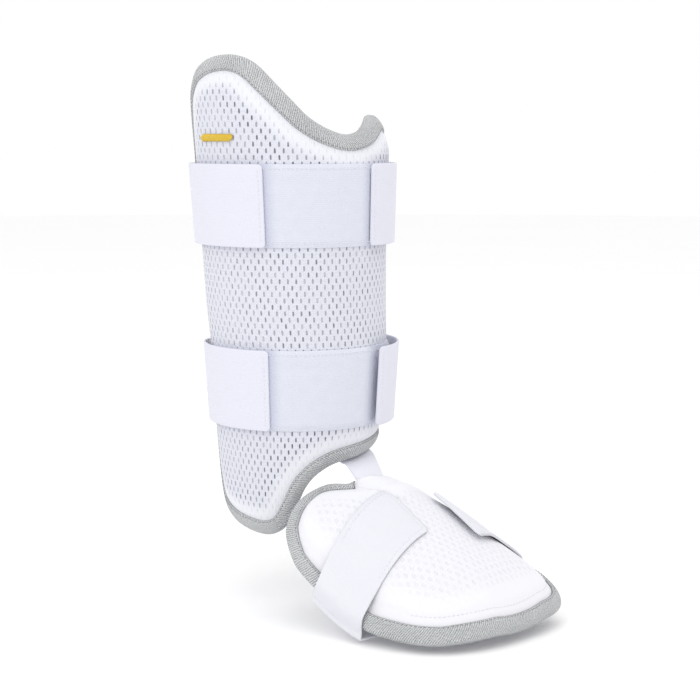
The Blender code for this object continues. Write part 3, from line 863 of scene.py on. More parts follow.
def cloth_object(name: str, points: Array, faces: Sequence[Sequence[int]], weave: Array,
                 margin: Array, materials: Sequence[bpy.types.Material],
                 slots: Array | None = None) -> bpy.types.Object:
    """Object with the cloth's own coordinates.

    Args:
        name: Name of the piece.
        points: Its vertices.
        faces: Vertex indices of each face.
        weave: Place of each vertex along and across the weave.
        margin: Distance of each vertex from the nearest hem.
        materials: Its finishes.
        slots: Which finish each face takes.

    Returns:
        The new object, linked to the scene.
    """
    mesh = bpy.data.meshes.new(name)
    mesh.from_pydata(points.reshape(-1, 3).tolist(), [], [list(map(int, face)) for face in faces])
    corners = np.zeros(len(mesh.loops), np.int32)
    mesh.loops.foreach_get("vertex_index", corners)
    mesh.uv_layers.new(name="cloth").data.foreach_set("uv", weave[corners].astype(np.float32).ravel())
    values = mesh.attributes.new("margin", "FLOAT", "POINT")
    values.data.foreach_set("value", margin.astype(np.float32))
    for made in materials:
        mesh.materials.append(made)
    if slots is not None:
        mesh.polygons.foreach_set("material_index", slots.astype(np.int32))
    mesh.shade_smooth()
    mesh.update()
    piece = bpy.data.objects.new(name, mesh)
    bpy.context.scene.collection.objects.link(piece)
    return piece


def dress(piece: bpy.types.Object, node: str, stands_for: bool = True) -> bpy.types.Object:
    """Joins a piece to the frame.

    Args:
        piece: The piece.
        node: The solid that it belongs to.
        stands_for: Whether it is shown in that solid's place.

    Returns:
        The same piece.
    """
    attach(piece, "root")
    if stands_for:
        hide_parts(node)
    log.info("%s: %d faces", piece.name, len(piece.data.polygons))
    return piece


@dataclass
class Laminate:
    """Thin piece of cloth laid on a grid of places, with rounded edges.

    The grid is its lower face, along the cloth first and across it second.
    """

    name: str
    grid: Array
    wall: float
    outward: Array
    closed: bool = False
    thread_lift: float = 0.00004

    def build(self, material: bpy.types.Material) -> bpy.types.Object:
        """Makes the closed mesh.

        Args:
            material: Its finish.

        Returns:
            The new object.
        """
        rows, columns = self.grid.shape[:2]
        normals = grid_normals(self.grid, self.closed)
        if np.sum(normals * self.outward) < 0.0:
            normals = -normals
        turned = np.sum(normals * grid_normals(self.grid, self.closed)) < 0.0
        if self.closed:
            self.grid = np.concatenate([self.grid, self.grid[:1]])
            normals = np.concatenate([normals, normals[:1]])
            rows += 1
        along, across, margin = self.measure()
        share = np.clip(margin / (self.wall / 2), 0.0, 1.0)
        half = self.wall / 2 * np.sqrt(np.maximum(1.0 - (1.0 - share) ** 2, 0.0))
        middle = self.grid + normals * self.wall / 2
        top = middle + normals * half[..., None]
        low = middle - normals * half[..., None]
        count = rows * columns
        up = grid_faces(rows, columns)
        down = grid_faces(rows, columns, count)[:, ::-1]
        if turned:
            up, down = up[:, ::-1], down[:, ::-1]
        points = np.concatenate([top.reshape(-1, 3), low.reshape(-1, 3)])
        weave = np.stack([along.ravel(), across.ravel()], axis=1)
        weave = np.concatenate([weave, weave])
        margin = np.concatenate([margin.ravel(), margin.ravel()])
        piece = cloth_object(self.name, points, np.concatenate([up, down]), weave, margin, [material])
        weld = piece.modifiers.new("weld", "WELD")
        weld.merge_threshold = 0.00001
        return piece

    def measure(self) -> tuple[Array, Array, Array]:
        """Places along and across the cloth, and distance from its edges."""
        steps = np.linalg.norm(np.diff(self.grid, axis=0), axis=-1)
        mean = np.concatenate(([0.0], np.cumsum(steps.mean(axis=1))))
        along = np.repeat(mean[:, None], self.grid.shape[1], axis=1)
        widths = np.linalg.norm(np.diff(self.grid, axis=1), axis=-1)
        across = np.concatenate([np.zeros((len(widths), 1)), np.cumsum(widths, axis=1)], axis=1)
        total = across[:, -1:]
        margin = np.minimum(across, total - across)
        if not self.closed:
            margin = np.minimum(margin, np.minimum(along, mean[-1] - along))
        return along, across - total / 2, margin

    def sewn_face(self) -> tuple[Array, Array]:
        """The outer face that stitches lie on.

        Returns:
            Places just off it, and its normals.
        """
        normals = grid_normals(self.grid)
        if np.sum(normals * self.outward) < 0.0:
            normals = -normals
        return self.grid + normals * (self.wall + self.thread_lift), normals

    def flat_size(self) -> tuple[float, float]:
        """Width and length of the cloth laid flat."""
        along, across, _margin = self.measure()
        return float(np.ptp(across, axis=1).mean()), float(along.max())


@dataclass
class Stitching:
    """Row of small stitches along a line on a surface."""

    name: str
    pitch: float = 0.0032
    length: float = 0.0023
    radius: float = 0.00028
    sides: int = 5
    look: float = 0.0005

    def build(self, lines: Sequence[tuple[Array, Array]],
              material: bpy.types.Material) -> bpy.types.Object:
        """Makes the stitches.

        Args:
            lines: For each row its places and its outward normals.
            material: The thread's finish.

        Returns:
            The new object.
        """
        stations = np.array([-0.5, -0.3, 0.0, 0.3, 0.5])
        widths = np.array([0.35, 0.9, 1.0, 0.9, 0.35])
        lifts = np.array([-0.5, 0.25, 0.5, 0.25, -0.5])
        turns = np.linspace(0.0, 2.0 * math.pi, self.sides, endpoint=False)
        centres, heads, ups = self.places(lines)
        sides = unit(np.cross(ups, heads))
        ring = (np.cos(turns)[None, :, None] * sides[:, None, None, :]
                + np.sin(turns)[None, :, None] * ups[:, None, None, :])
        points = (centres[:, None, None, :]
                  + heads[:, None, None, :] * (stations * self.length)[None, :, None, None]
                  + ups[:, None, None, :] * (lifts * self.radius)[None, :, None, None]
                  + ring * (widths * self.radius)[None, :, None, None])
        each = len(stations) * self.sides
        faces = []
        for number in range(len(centres)):
            first = number * each
            for station in range(len(stations) - 1):
                for turn in range(self.sides):
                    near = first + station * self.sides
                    after = (turn + 1) % self.sides
                    far = near + self.sides
                    faces.append((near + turn, near + after, far + after, far + turn))
            faces.append(tuple(first + turn for turn in reversed(range(self.sides))))
            last = first + each - self.sides
            faces.append(tuple(last + turn for turn in range(self.sides)))
        count = len(centres)
        along = np.broadcast_to((stations * self.length)[None, :, None],
                                (count, len(stations), self.sides))
        across = np.broadcast_to((turns * self.radius)[None, None, :], along.shape)
        weave = np.stack([along.ravel(), across.ravel()], axis=1)
        return cloth_object(self.name, points, faces, weave, np.zeros(count * each), [material])

    def places(self, lines: Sequence[tuple[Array, Array]]) -> tuple[Array, Array, Array]:
        """Middle, heading and upward direction of each stitch.

        Args:
            lines: For each row its places and its outward normals.

        Returns:
            The three, one row for each stitch.
        """
        centres, heads, ups = [], [], []
        for line, normals in lines:
            length = lengths_along(line)
            count = max(int(length[-1] / self.pitch), 1)
            spots = (np.arange(count) + 0.5) * length[-1] / count
            middle = np.stack([np.interp(spots, length, column) for column in line.T], axis=1)
            ahead = [np.interp(np.minimum(spots + self.look, length[-1]), length, column)
                     for column in line.T]
            behind = [np.interp(np.maximum(spots - self.look, 0.0), length, column)
                      for column in line.T]
            up = np.stack([np.interp(spots, length, column) for column in normals.T], axis=1)
            centres.append(middle)
            heads.append(unit(np.stack(ahead, axis=1) - np.stack(behind, axis=1)))
            ups.append(unit(up))
        return np.concatenate(centres), np.concatenate(heads), np.concatenate(ups)


@dataclass
class FoldedTape:
    """Woven tape folded over a padded edge."""

    face: float = 0.0110
    wall: float = 0.0012
    nose: float = 0.0010
    clearance: float = 0.0006
    outside_share: float = 0.86
    inside_share: float = 0.80
    stitch_share: float = 0.72
    crown: float = 0.0009

    def section(self, panel: "Panel", edge: Array, inward: Array) -> tuple[Array, Array]:
        """The tape's inner side round the edge.

        Args:
            panel: The padded piece that it binds.
            edge: The piece's edge in its own plane.
            inward: Step into the piece at each place, as long as the tape's face.

        Returns:
            Places along the edge and round the fold, and the outward normals of its outer leg.
        """
        rows = []
        for share in np.linspace(self.outside_share, 0.0, 9):
            flat = edge + inward * share
            rows.append(panel.outer(flat, share * self.face, self.clearance + self.crown_at(share)))
        top = rows[-1]
        low = panel.surface(edge, np.full(len(edge), -self.clearance))
        middle = (top + low) / 2
        out = unit(top - panel.outer(edge + inward * 0.1, 0.1 * self.face, self.clearance)) * self.nose
        for turn in np.radians([30.0, 60.0, 90.0, 120.0, 150.0]):
            rows.append(middle + (top - middle) * math.cos(turn) + out * math.sin(turn))
        rows.append(low)
        for share in np.linspace(0.0, self.inside_share, 7)[1:]:
            flat = edge + inward * share
            rows.append(panel.surface(flat, np.full(len(flat), -self.clearance)))
        grid = np.stack(rows, axis=1)
        hem = edge + inward
        normals = unit(panel.outer(hem, self.face, 0.002) - panel.outer(hem, self.face, 0.0))
        return grid, normals

    def crown_at(self, share: float) -> float:
        """How far the tape's outer leg bulges at a share of its face, and sinks in at its hem.

        Args:
            share: Share of the face, from the edge.

        Returns:
            The bulge in metres.
        """
        across = min(share / self.outside_share, 1.0)
        sunk = (self.clearance + self.wall / 2) * float(eased((across - 0.8) / 0.2))
        return self.crown * math.sin(math.pi * across) ** 0.7 - sunk


@dataclass
class Panel:
    """Padded panel with a soft outer face, a lining, and a thinner edge."""

    name: str
    node: str
    surface: Surface
    rows: Array
    corners: list[int]
    cells: tuple[int, int]
    padding: float
    edge_wall: float
    bevel: float
    outward: Callable[[Array], Array]
    along_surface: bool = False
    free: Callable[[Array], Array] = lambda flat: np.ones(len(flat))
    crown: float = 0.0007
    voxel: float = 0.0050
    pressure: float = 4.0
    most: float = 0.0018
    hold_width: float = 0.0120
    frames: int = 20
    puff_rise: float = 0.0030
    puff_from: float = 0.0040
    puff_fade: float = 0.0220
    rim_rings: int = 6
    tape: FoldedTape = field(default_factory=FoldedTape)

    def wall_at(self, distance: Array | float) -> Array:
        """Thickness of the panel at a distance from its edge."""
        share = np.minimum(distance / self.bevel, 1.0)
        return self.edge_wall + (self.padding - self.edge_wall) * (1.0 - (1.0 - share) ** 2)

    def outer(self, flat: Array, distance: Array | float, off: float = 0.0) -> Array:
        """Places off the outer face, at a distance from the edge."""
        return self.surface(flat, np.broadcast_to(self.wall_at(distance) + off, len(flat)))

    def ring(self) -> tuple[Array, Array]:
        """The panel's edge in its own plane, and the step in from it by the tape's face."""
        loop = smooth_loop(self.inset(self.rows, self.tape.wall + self.tape.nose, False), 12)
        parts = []
        for number, start in enumerate(self.corners):
            stop = self.corners[(number + 1) % 4]
            if stop <= start:
                stop += len(self.rows)
            places = np.arange(start * 12, stop * 12 + 1) % len(loop)
            parts.append(even_points(loop[places], self.cells[number % 2])[:-1])
        edge = np.concatenate(parts)
        return edge, self.inset(edge, self.tape.face, self.along_surface) - edge

    def inset(self, ring: Array, width: float, along_surface: bool) -> Array:
        """Places a width inside a closed ring.

        Args:
            ring: The ring in the panel's plane.
            width: How far inside.
            along_surface: Whether the width is measured on the bent surface.

        Returns:
            One place for each of the ring's.
        """
        along = unit(np.roll(ring, -1, axis=0) - np.roll(ring, 1, axis=0))
        inward = np.stack([along[:, 1], -along[:, 0]], axis=1)
        after = np.roll(ring, -1, axis=0)
        if np.sum(ring[:, 0] * after[:, 1] - after[:, 0] * ring[:, 1]) > 0.0:
            inward = -inward
        widths = np.full((len(ring), 1), width)
        if along_surface:
            start = self.surface(ring, np.zeros(len(ring)))
            for _round in range(4):
                reached = self.surface(ring + inward * widths, np.zeros(len(ring)))
                widths *= width / np.linalg.norm(reached - start, axis=1, keepdims=True)
        return ring + inward * widths

    def flat_mesh(self) -> tuple[Array, Array, Array]:
        """The panel laid flat.

        Returns:
            Its vertices, its quads, and the indices of its edge in order.
        """
        edge, step = self.ring()
        inner = edge + step
        first, second = self.cells
        ends = [0, first, first + second, 2 * first + second]
        near = inner[ends[0]:ends[1] + 1]
        right = inner[ends[1]:ends[2] + 1]
        far = inner[ends[2]:ends[3] + 1][::-1]
        left = np.concatenate([inner[ends[3]:], inner[:1]])[::-1]
        u = np.linspace(0.0, 1.0, first + 1)[:, None, None]
        v = np.linspace(0.0, 1.0, second + 1)[None, :, None]
        sheet = (1.0 - v) * near[:, None] + v * far[:, None] + (1.0 - u) * left[None] + u * right[None]
        sheet = sheet - (1.0 - u) * (1.0 - v) * near[0] - u * (1.0 - v) * near[-1]
        sheet = sheet - (1.0 - u) * v * far[0] - u * v * far[-1]
        index = np.arange((first + 1) * (second + 1)).reshape(first + 1, second + 1)
        border = np.concatenate([index[:-1, 0], index[-1, :-1], index[:0:-1, -1], index[0, :0:-1]])
        points = [sheet.reshape(-1, 2)]
        faces = [grid_faces(first + 1, second + 1)]
        last = border
        for ring in range(1, self.rim_rings + 1):
            start = sum(len(part) for part in points)
            points.append(inner - step * ring / self.rim_rings)
            new = start + np.arange(len(edge))
            faces.append(np.stack([last, new, np.roll(new, -1), np.roll(last, -1)], axis=1))
            last = new
        return np.concatenate(points), np.concatenate(faces), last

    def build(self, finishes: Finishes, mesh: bpy.types.Material) -> bpy.types.Object:
        """Makes the padded piece.

        Args:
            finishes: The guard's cloths.
            mesh: Finish of its outer face.

        Returns:
            The new object, joined to the frame.
        """
        flat, faces, edge = self.flat_mesh()
        margin = distance_to_ring(flat, flat[edge])
        hem = self.tape.face * self.tape.outside_share
        puff = (self.crown * eased((margin - hem) / self.puff_rise)
                * (1.0 - eased((margin - hem - self.puff_from) / self.puff_fade)))
        top = self.surface(flat, self.wall_at(margin) + puff)
        low = self.surface(flat, np.zeros(len(flat)))
        count = len(flat)
        quad = top[faces[0]]
        normal = np.cross(quad[1] - quad[0], quad[2] - quad[0])
        if np.dot(normal, self.outward(quad.mean(axis=0))) < 0.0:
            faces = faces[:, ::-1]
            edge = edge[::-1]
        after = np.roll(edge, -1)
        sides = np.stack([after, edge, edge + count, after + count], axis=1)
        everything = np.concatenate([faces, faces[:, ::-1] + count, sides])
        points = np.concatenate([top, low])
        quad = points[sides[0]]
        normal = np.cross(quad[1] - quad[0], quad[2] - quad[0])
        if np.dot(normal, quad.mean(axis=0) - points.mean(axis=0)) < 0.0:
            everything[-len(sides):] = sides[:, ::-1]
        slots = np.zeros(len(everything), int)
        slots[len(faces):2 * len(faces)] = 1
        hold = eased((margin - hem) / self.hold_width) * self.free(flat)
        points[:count] += self.swelling(points, everything, np.concatenate([hold, hold]))[:count]
        lining = finishes.lining.material("lining_of_" + self.name)
        piece = cloth_object(self.name, points, everything, np.concatenate([flat, flat]),
                             np.concatenate([margin, margin]), [mesh, lining], slots)
        return dress(piece, self.node)

    def swelling(self, points: Array, faces: Array, hold: Array) -> Array:
        """Blows the padding up as cloth, held at its hems and under its straps.

        Args:
            points: Vertices of the closed panel.
            faces: Its quads.
            hold: How freely each vertex may move, from 0 to 1.

        Returns:
            How far each vertex moves, no more than the panel's most.
        """
        scene = bpy.context.scene
        mesh = bpy.data.meshes.new("blown")
        mesh.from_pydata(points.tolist(), [], faces.tolist())
        blown = bpy.data.objects.new("blown", mesh)
        scene.collection.objects.link(blown)
        even = blown.modifiers.new("even", "REMESH")
        even.mode = "VOXEL"
        even.voxel_size = self.voxel
        graph = bpy.context.evaluated_depsgraph_get()
        blown.data = bpy.data.meshes.new_from_object(blown.evaluated_get(graph))
        blown.modifiers.clear()
        start = vertex_places(blown.data)
        _shares, nearest = nearby(points, start, 1)
        pins = blown.vertex_groups.new(name="pins")
        for index, freedom in enumerate(hold[nearest[:, 0]]):
            pins.add([index], 1.0 - float(freedom), "REPLACE")
        cloth = blown.modifiers.new("cloth", "CLOTH")
        cloth.settings.use_pressure = True
        cloth.settings.uniform_pressure_force = self.pressure
        cloth.settings.vertex_group_mass = pins.name
        cloth.settings.effector_weights.gravity = 0.0
        for number in range(1, self.frames + 1):
            scene.frame_set(number)
        graph = bpy.context.evaluated_depsgraph_get()
        moved = vertex_places(blown.evaluated_get(graph).data) - start
        moved *= self.most / (np.linalg.norm(moved, axis=1, keepdims=True) + self.most)
        bpy.data.objects.remove(blown)
        scene.frame_set(1)
        shares, nearest = nearby(start, points, 8)
        return np.sum(moved[nearest] * shares[..., None], axis=1) * hold[:, None]

    def bind(self, name: str, node: str, finishes: Finishes, keep: Array | None = None) -> bpy.types.Object:
        """Folds the tape over the edge and sews it.

        Args:
            name: Name of the tape.
            node: Its solid.
            finishes: The guard's cloths.
            keep: Which places of the edge it covers, in order, or all.

        Returns:
            The tape.
        """
        edge, step = self.ring()
        grid, normals = self.tape.section(self, edge, step)
        closed = keep is None
        if keep is not None:
            grid, normals = grid[keep], normals[keep]
        outward = np.zeros_like(grid)
        outward[:, :6] = normals[:, None]
        tape = Laminate(name, grid, self.tape.wall, outward, closed)
        piece = dress(tape.build(finishes.tape.material("woven_" + name)), node)
        place = int(round(8 * (1.0 - self.tape.stitch_share / self.tape.outside_share)))
        line = grid[:, place] + normals * (self.tape.wall - 0.00002)
        if closed:
            line = np.concatenate([line, line[:1]])
            normals = np.concatenate([normals, normals[:1]])
        thread = finishes.grey_thread.material("sewn_" + name)
        dress(Stitching(name + "_stitches").build([(line, normals)], thread), node, False)
        return piece


# Sub-assemblies


@dataclass
class ShinGuard:
    """Padded shell round the shin with its tape and its small embroidered bar."""

    leg: LegForm
    finishes: Finishes
    padding: float = 0.0100
    edge_wall: float = 0.0045
    bevel: float = 0.0300
    cells: tuple[int, int] = (104, 96)
    bar_length: float = 0.0340
    bar_height: float = 0.0055
    bar_bearing: float = -90.0
    bar_z: float = 0.1150
    bar_crown: float = 0.0011
    bar_lift: float = 0.0006
    bar_thread: float = 0.00034
    bar_threads: int = 60
    band_heights: tuple[float, float] = (0.0663, -0.0690)
    band_width: float = 0.0600
    edge: tuple[tuple[float, float, int], ...] = (
        # bearing, height as a share of the shell's, and whether a corner of the mesh lies there
        (-140.0, -0.330, 0), (-142.0, -0.100, 0), (-141.0, 0.100, 0), (-137.0, 0.270, 0),
        (-130.0, 0.400, 1), (-118.0, 0.454, 0), (-104.0, 0.478, 0), (-90.0, 0.489, 0),
        (-76.0, 0.488, 0), (-64.0, 0.471, 0), (-52.0, 0.432, 0), (-42.0, 0.397, 0),
        (-32.0, 0.364, 0), (-20.0, 0.341, 0), (-7.0, 0.330, 0), (6.0, 0.337, 0),
        (16.0, 0.352, 0), (26.0, 0.366, 0), (40.0, 0.371, 0), (56.0, 0.358, 0),
        (70.0, 0.325, 0), (78.5, 0.268, 1), (84.0, 0.180, 0), (85.5, 0.050, 0),
        (85.0, -0.120, 0), (83.5, -0.230, 0), (77.0, -0.302, 1), (64.0, -0.330, 0),
        (48.0, -0.338, 0), (30.0, -0.341, 0), (10.0, -0.347, 0), (-9.0, -0.353, 0),
        (-20.0, -0.362, 0), (-30.0, -0.380, 0), (-37.5, -0.405, 0), (-44.0, -0.443, 0),
        (-52.0, -0.484, 0), (-61.0, -0.503, 0), (-72.0, -0.509, 0), (-90.0, -0.502, 0),
        (-107.0, -0.490, 0), (-122.0, -0.468, 1), (-133.5, -0.415, 0),
    )

    def panel(self) -> Panel:
        """The padded shell, laid out in its own plane."""
        degree = math.radians(self.leg.radius)
        rows = np.array(self.edge)
        flat = np.stack([rows[:, 0] * degree, rows[:, 1] * self.leg.height], axis=1)

        def surface(places: Array, off: Array) -> Array:
            """Places off the leg."""
            return self.leg.at(places[:, 0] / degree, places[:, 1], off)

        return Panel("shin_cover", "shin_shell", surface, flat,
                     [int(i) for i in np.flatnonzero(rows[:, 2])],
                     self.cells, self.padding, self.edge_wall, self.bevel,
                     lambda place: np.array([place[0], place[1], 0.0]), free=self.free)

    def free(self, flat: Array) -> Array:
        """How freely the padding may swell: not at all under the bands.

        Args:
            flat: Places in the panel's own plane.

        Returns:
            Shares from 0 to 1.
        """
        share = np.ones(len(flat))
        for middle in self.band_heights:
            share *= eased((np.abs(flat[:, 1] - middle) - self.band_width / 2) / 0.012)
        return share

    def bar(self) -> bpy.types.Object:
        """Satin stitches side by side, in a plain bar with rounded ends."""
        radius = float(self.leg.radius_at(self.bar_z)) + self.padding
        share = np.linspace(0.0, 1.0, self.bar_threads)
        span = math.degrees(self.bar_length / radius)
        bearings = self.bar_bearing + (share - 0.5) * span
        lines = []
        for bearing, place in zip(bearings, share):
            to_end = min(place, 1.0 - place) * self.bar_length
            half = self.bar_height / 2
            if to_end < half:
                half = math.sqrt(max(half ** 2 - (half - to_end) ** 2, (half * 0.3) ** 2))
            lean = half * 0.45
            heights = np.linspace(self.bar_z - half, self.bar_z + half, 7)
            leaning = bearing + np.degrees(np.linspace(-lean, lean, 7) / radius)
            crown = self.bar_crown * np.sqrt(1.0 - np.linspace(-0.98, 0.98, 7) ** 2)
            line = self.leg.at(leaning, heights, self.padding + self.bar_lift + crown)
            out = self.leg.at(leaning, heights, 1.0) - self.leg.at(leaning, heights, 0.0)
            lines.append((line, unit(out)))
        gold = self.finishes.gold_thread.material("satin_gold")
        return dress(Strands("satin_bar", self.bar_thread).build(lines, gold), "stitched_bar")

    def build(self) -> None:
        """Makes the shell, its tape and its bar."""
        panel = self.panel()
        cover = panel.build(self.finishes, self.finishes.mesh.material("air_mesh"))
        panel.bind("shin_tape", "shin_binding", self.finishes)
        self.bar()


@dataclass
class Strands:
    """Thick threads that follow lines, each a round strand with closed ends."""

    name: str
    radius: float
    sides: int = 6

    def build(self, lines: Sequence[tuple[Array, Array]],
              material: bpy.types.Material) -> bpy.types.Object:
        """Makes the strands.

        Args:
            lines: For each strand its places and its outward normals.
            material: The thread's finish.

        Returns:
            The new object.
        """
        turns = np.linspace(0.0, 2.0 * math.pi, self.sides, endpoint=False)
        points, faces, weave = [], [], []
        for line, ups in lines:
            heads = unit(np.gradient(line, axis=0))
            sides = unit(np.cross(ups, heads))
            widths = np.full(len(line), self.radius)
            widths[[0, -1]] *= 0.4
            ring = (np.cos(turns)[None, :, None] * sides[:, None]
                    + np.sin(turns)[None, :, None] * ups[:, None])
            first = len(points) * len(line) * self.sides
            points.append(line[:, None] + ring * widths[:, None, None])
            around = grid_faces(len(line), self.sides, first)
            seam = first + np.arange(len(line)) * self.sides
            last = seam + self.sides - 1
            closing = np.stack([last[:-1], last[1:], seam[1:], seam[:-1]], axis=1)
            faces.extend(map(tuple, np.concatenate([around, closing])))
            faces.append(tuple(range(first, first + self.sides)))
            end = first + (len(line) - 1) * self.sides
            faces.append(tuple(reversed(range(end, end + self.sides))))
            along = np.repeat(lengths_along(line)[:, None], self.sides, axis=1)
            across = np.broadcast_to(turns * self.radius, along.shape)
            weave.append(np.stack([along, across], axis=-1).reshape(-1, 2))
        count = sum(part.shape[0] * part.shape[1] for part in points)
        everything = np.concatenate([part.reshape(-1, 3) for part in points])
        return cloth_object(self.name, everything, faces, np.concatenate(weave), np.zeros(count), [material])


@dataclass
class CalfStraps:
    """Soft bands across the front of the shell, and elastic straps that close on them."""

    leg: LegForm
    finishes: Finishes
    padding: float = 0.0100
    clearance: float = 0.0004
    band_width: float = 0.0600
    band_wall: float = 0.0020
    band_from: float = -112.0
    band_to: float = 66.0
    strap_width: float = 0.0600
    strap_wall: float = 0.0018
    tab_corner: float = 0.0030
    calf_radius: float = 0.0600
    calf_lift_share: float = 0.35
    calf_from: float = 84.0
    calf_to: float = 226.0
    calf_spread: float = 40.0
    slack_from: float = 2.0
    slack_to: float = 130.0
    slack_spreads: tuple[float, float] = (14.0, 60.0)
    hem: float = 0.0030
    cells_along: int = 200
    cells_across: int = 22
    levels: tuple[tuple[str, float, float, float, float], ...] = (
        # name, height of its middle, bearings of its inner and outer end, slack of its outer tab
        ("upper", 0.0663, -59.0, 6.0, 0.0018),
        ("lower", -0.0690, -61.0, 11.0, 0.0055),
    )

    def over_band(self) -> float:
        """Distance of a strap's inner side from the shell's inner face, over a band."""
        return self.padding + self.band_wall + 2.0 * self.clearance

    def strap_places(self, bearing: Array, height: Array, slack: float) -> Array:
        """Places on a strap's inner side.

        Args:
            bearing: Bearings in degrees, down to a whole turn back.
            height: Heights in metres.
            slack: How far its outer tab stands off.

        Returns:
            Places, with x, y and z along the last axis.
        """
        turn = (bearing + 360.0) % 360.0
        behind = (eased((turn - self.calf_from) / self.calf_spread)
                  * eased((self.calf_to - turn) / self.calf_spread))
        first, last = self.slack_spreads
        loose = slack * eased((turn - self.slack_from) / first) * eased((self.slack_to - turn) / last)
        radius = self.leg.radius_at(height)
        calf = self.calf_radius * radius / self.leg.radius - radius
        over = self.over_band()
        off = over * (1.0 - behind) + (calf + over * self.calf_lift_share) * behind + loose
        signed = np.where(turn > 180.0, turn - 360.0, turn)
        return self.leg.at(signed, height, off)

    def band(self, name: str, middle: float) -> Laminate:
        """Soft band across the front.

        Args:
            name: Its name.
            middle: Height of its middle.

        Returns:
            The band, ready to be made.
        """
        bearings = np.linspace(self.band_from, self.band_to, self.cells_along // 2)
        across = hemmed(self.band_width, self.band_wall / 2, self.cells_across)
        heights = middle - self.band_width / 2 + across
        bearing, height = np.meshgrid(bearings, heights, indexing="ij")
        to_side = self.band_width / 2 - np.abs(height - middle)
        sunk = (self.clearance + self.band_wall / 2) * eased(1.0 - to_side / self.hem)
        grid = self.leg.at(bearing, height, self.padding + self.clearance - sunk)
        outward = grid * np.array([1.0, 1.0, 0.0])
        return Laminate(name, grid, self.band_wall, outward)

    def strap(self, name: str, middle: float, inner_end: float, outer_end: float,
              slack: float) -> Laminate:
        """Elastic strap from its inner tab, round the back, to its outer tab.

        Args:
            name: Its name.
            middle: Height of its middle.
            inner_end: Bearing of its inner tab's end.
            outer_end: Bearing of its outer tab's end.
            slack: How far the outer tab stands off.

        Returns:
            The strap, ready to be made.
        """
        span = outer_end - 360.0 - inner_end
        length = math.radians(abs(span)) * (float(self.leg.radius_at(middle)) + self.padding)
        places = np.unique(np.concatenate([hemmed(length, self.strap_wall / 2, self.cells_along),
                                           np.linspace(0.0, self.tab_corner, 10),
                                           length - np.linspace(0.0, self.tab_corner, 10)]))
        to_end = np.minimum(places, length - places)
        cut = np.maximum(self.tab_corner - to_end, 0.0)
        half = self.strap_width / 2 - self.tab_corner + np.sqrt(self.tab_corner ** 2 - cut ** 2)
        shares = hemmed(2.0, self.strap_wall / self.strap_width, self.cells_across) - 1.0
        heights = middle + half[:, None] * shares[None]
        bearings = np.broadcast_to((inner_end + span * places / length)[:, None], heights.shape)
        grid = self.strap_places(bearings, heights, slack)
        outward = grid * np.array([1.0, 1.0, 0.0])
        return Laminate(name, grid, self.strap_wall, outward)

    def sew(self, cloth: Laminate, node: str, ends: bool) -> None:
        """Stitches inside the hems of a band or strap.

        Args:
            cloth: The cloth.
            node: Its solid.
            ends: Whether its ends are sewn too, and not its long edges.
        """
        face, normals = cloth.sewn_face()
        along, across, _margin = cloth.measure()
        lines = []
        if ends:
            for at in (self.hem + 0.0010, along.max() - self.hem - 0.0010):
                row = int(np.argmin(np.abs(along[:, 0] - at)))
                inside = np.abs(across[row]) < self.strap_width / 2 - self.hem
                lines.append((face[row][inside], normals[row][inside]))
        else:
            for at in (-1.0, 1.0):
                column = int(np.argmin(np.abs(across[0] - at * (self.band_width / 2 - self.hem))))
                lines.append((face[:, column], normals[:, column]))
        thread = self.finishes.white_thread.material("sewn_" + cloth.name)
        dress(Stitching(cloth.name + "_stitches").build(lines, thread), node, False)

    def build(self) -> None:
        """Makes both bands and both straps."""
        for level, middle, inner_end, outer_end, slack in self.levels:
            band = self.band(level + "_band_cloth", middle)
            radius = float(self.leg.radius_at(middle)) + self.padding
            tabs = (math.radians(inner_end - self.band_from) * radius,
                    math.radians(outer_end - self.band_from) * radius)
            piece = dress(band.build(self.finishes.loop.material("loop_" + level, tabs)), level + "_band")
            band.flat_size()
            self.sew(band, level + "_band", ends=False)
            strap = self.strap(level + "_strap_elastic", middle, inner_end, outer_end, slack)
            piece = dress(strap.build(self.finishes.elastic.material("elastic_" + level)), level + "_strap")
            strap.flat_size()
            self.sew(strap, level + "_strap", ends=True)


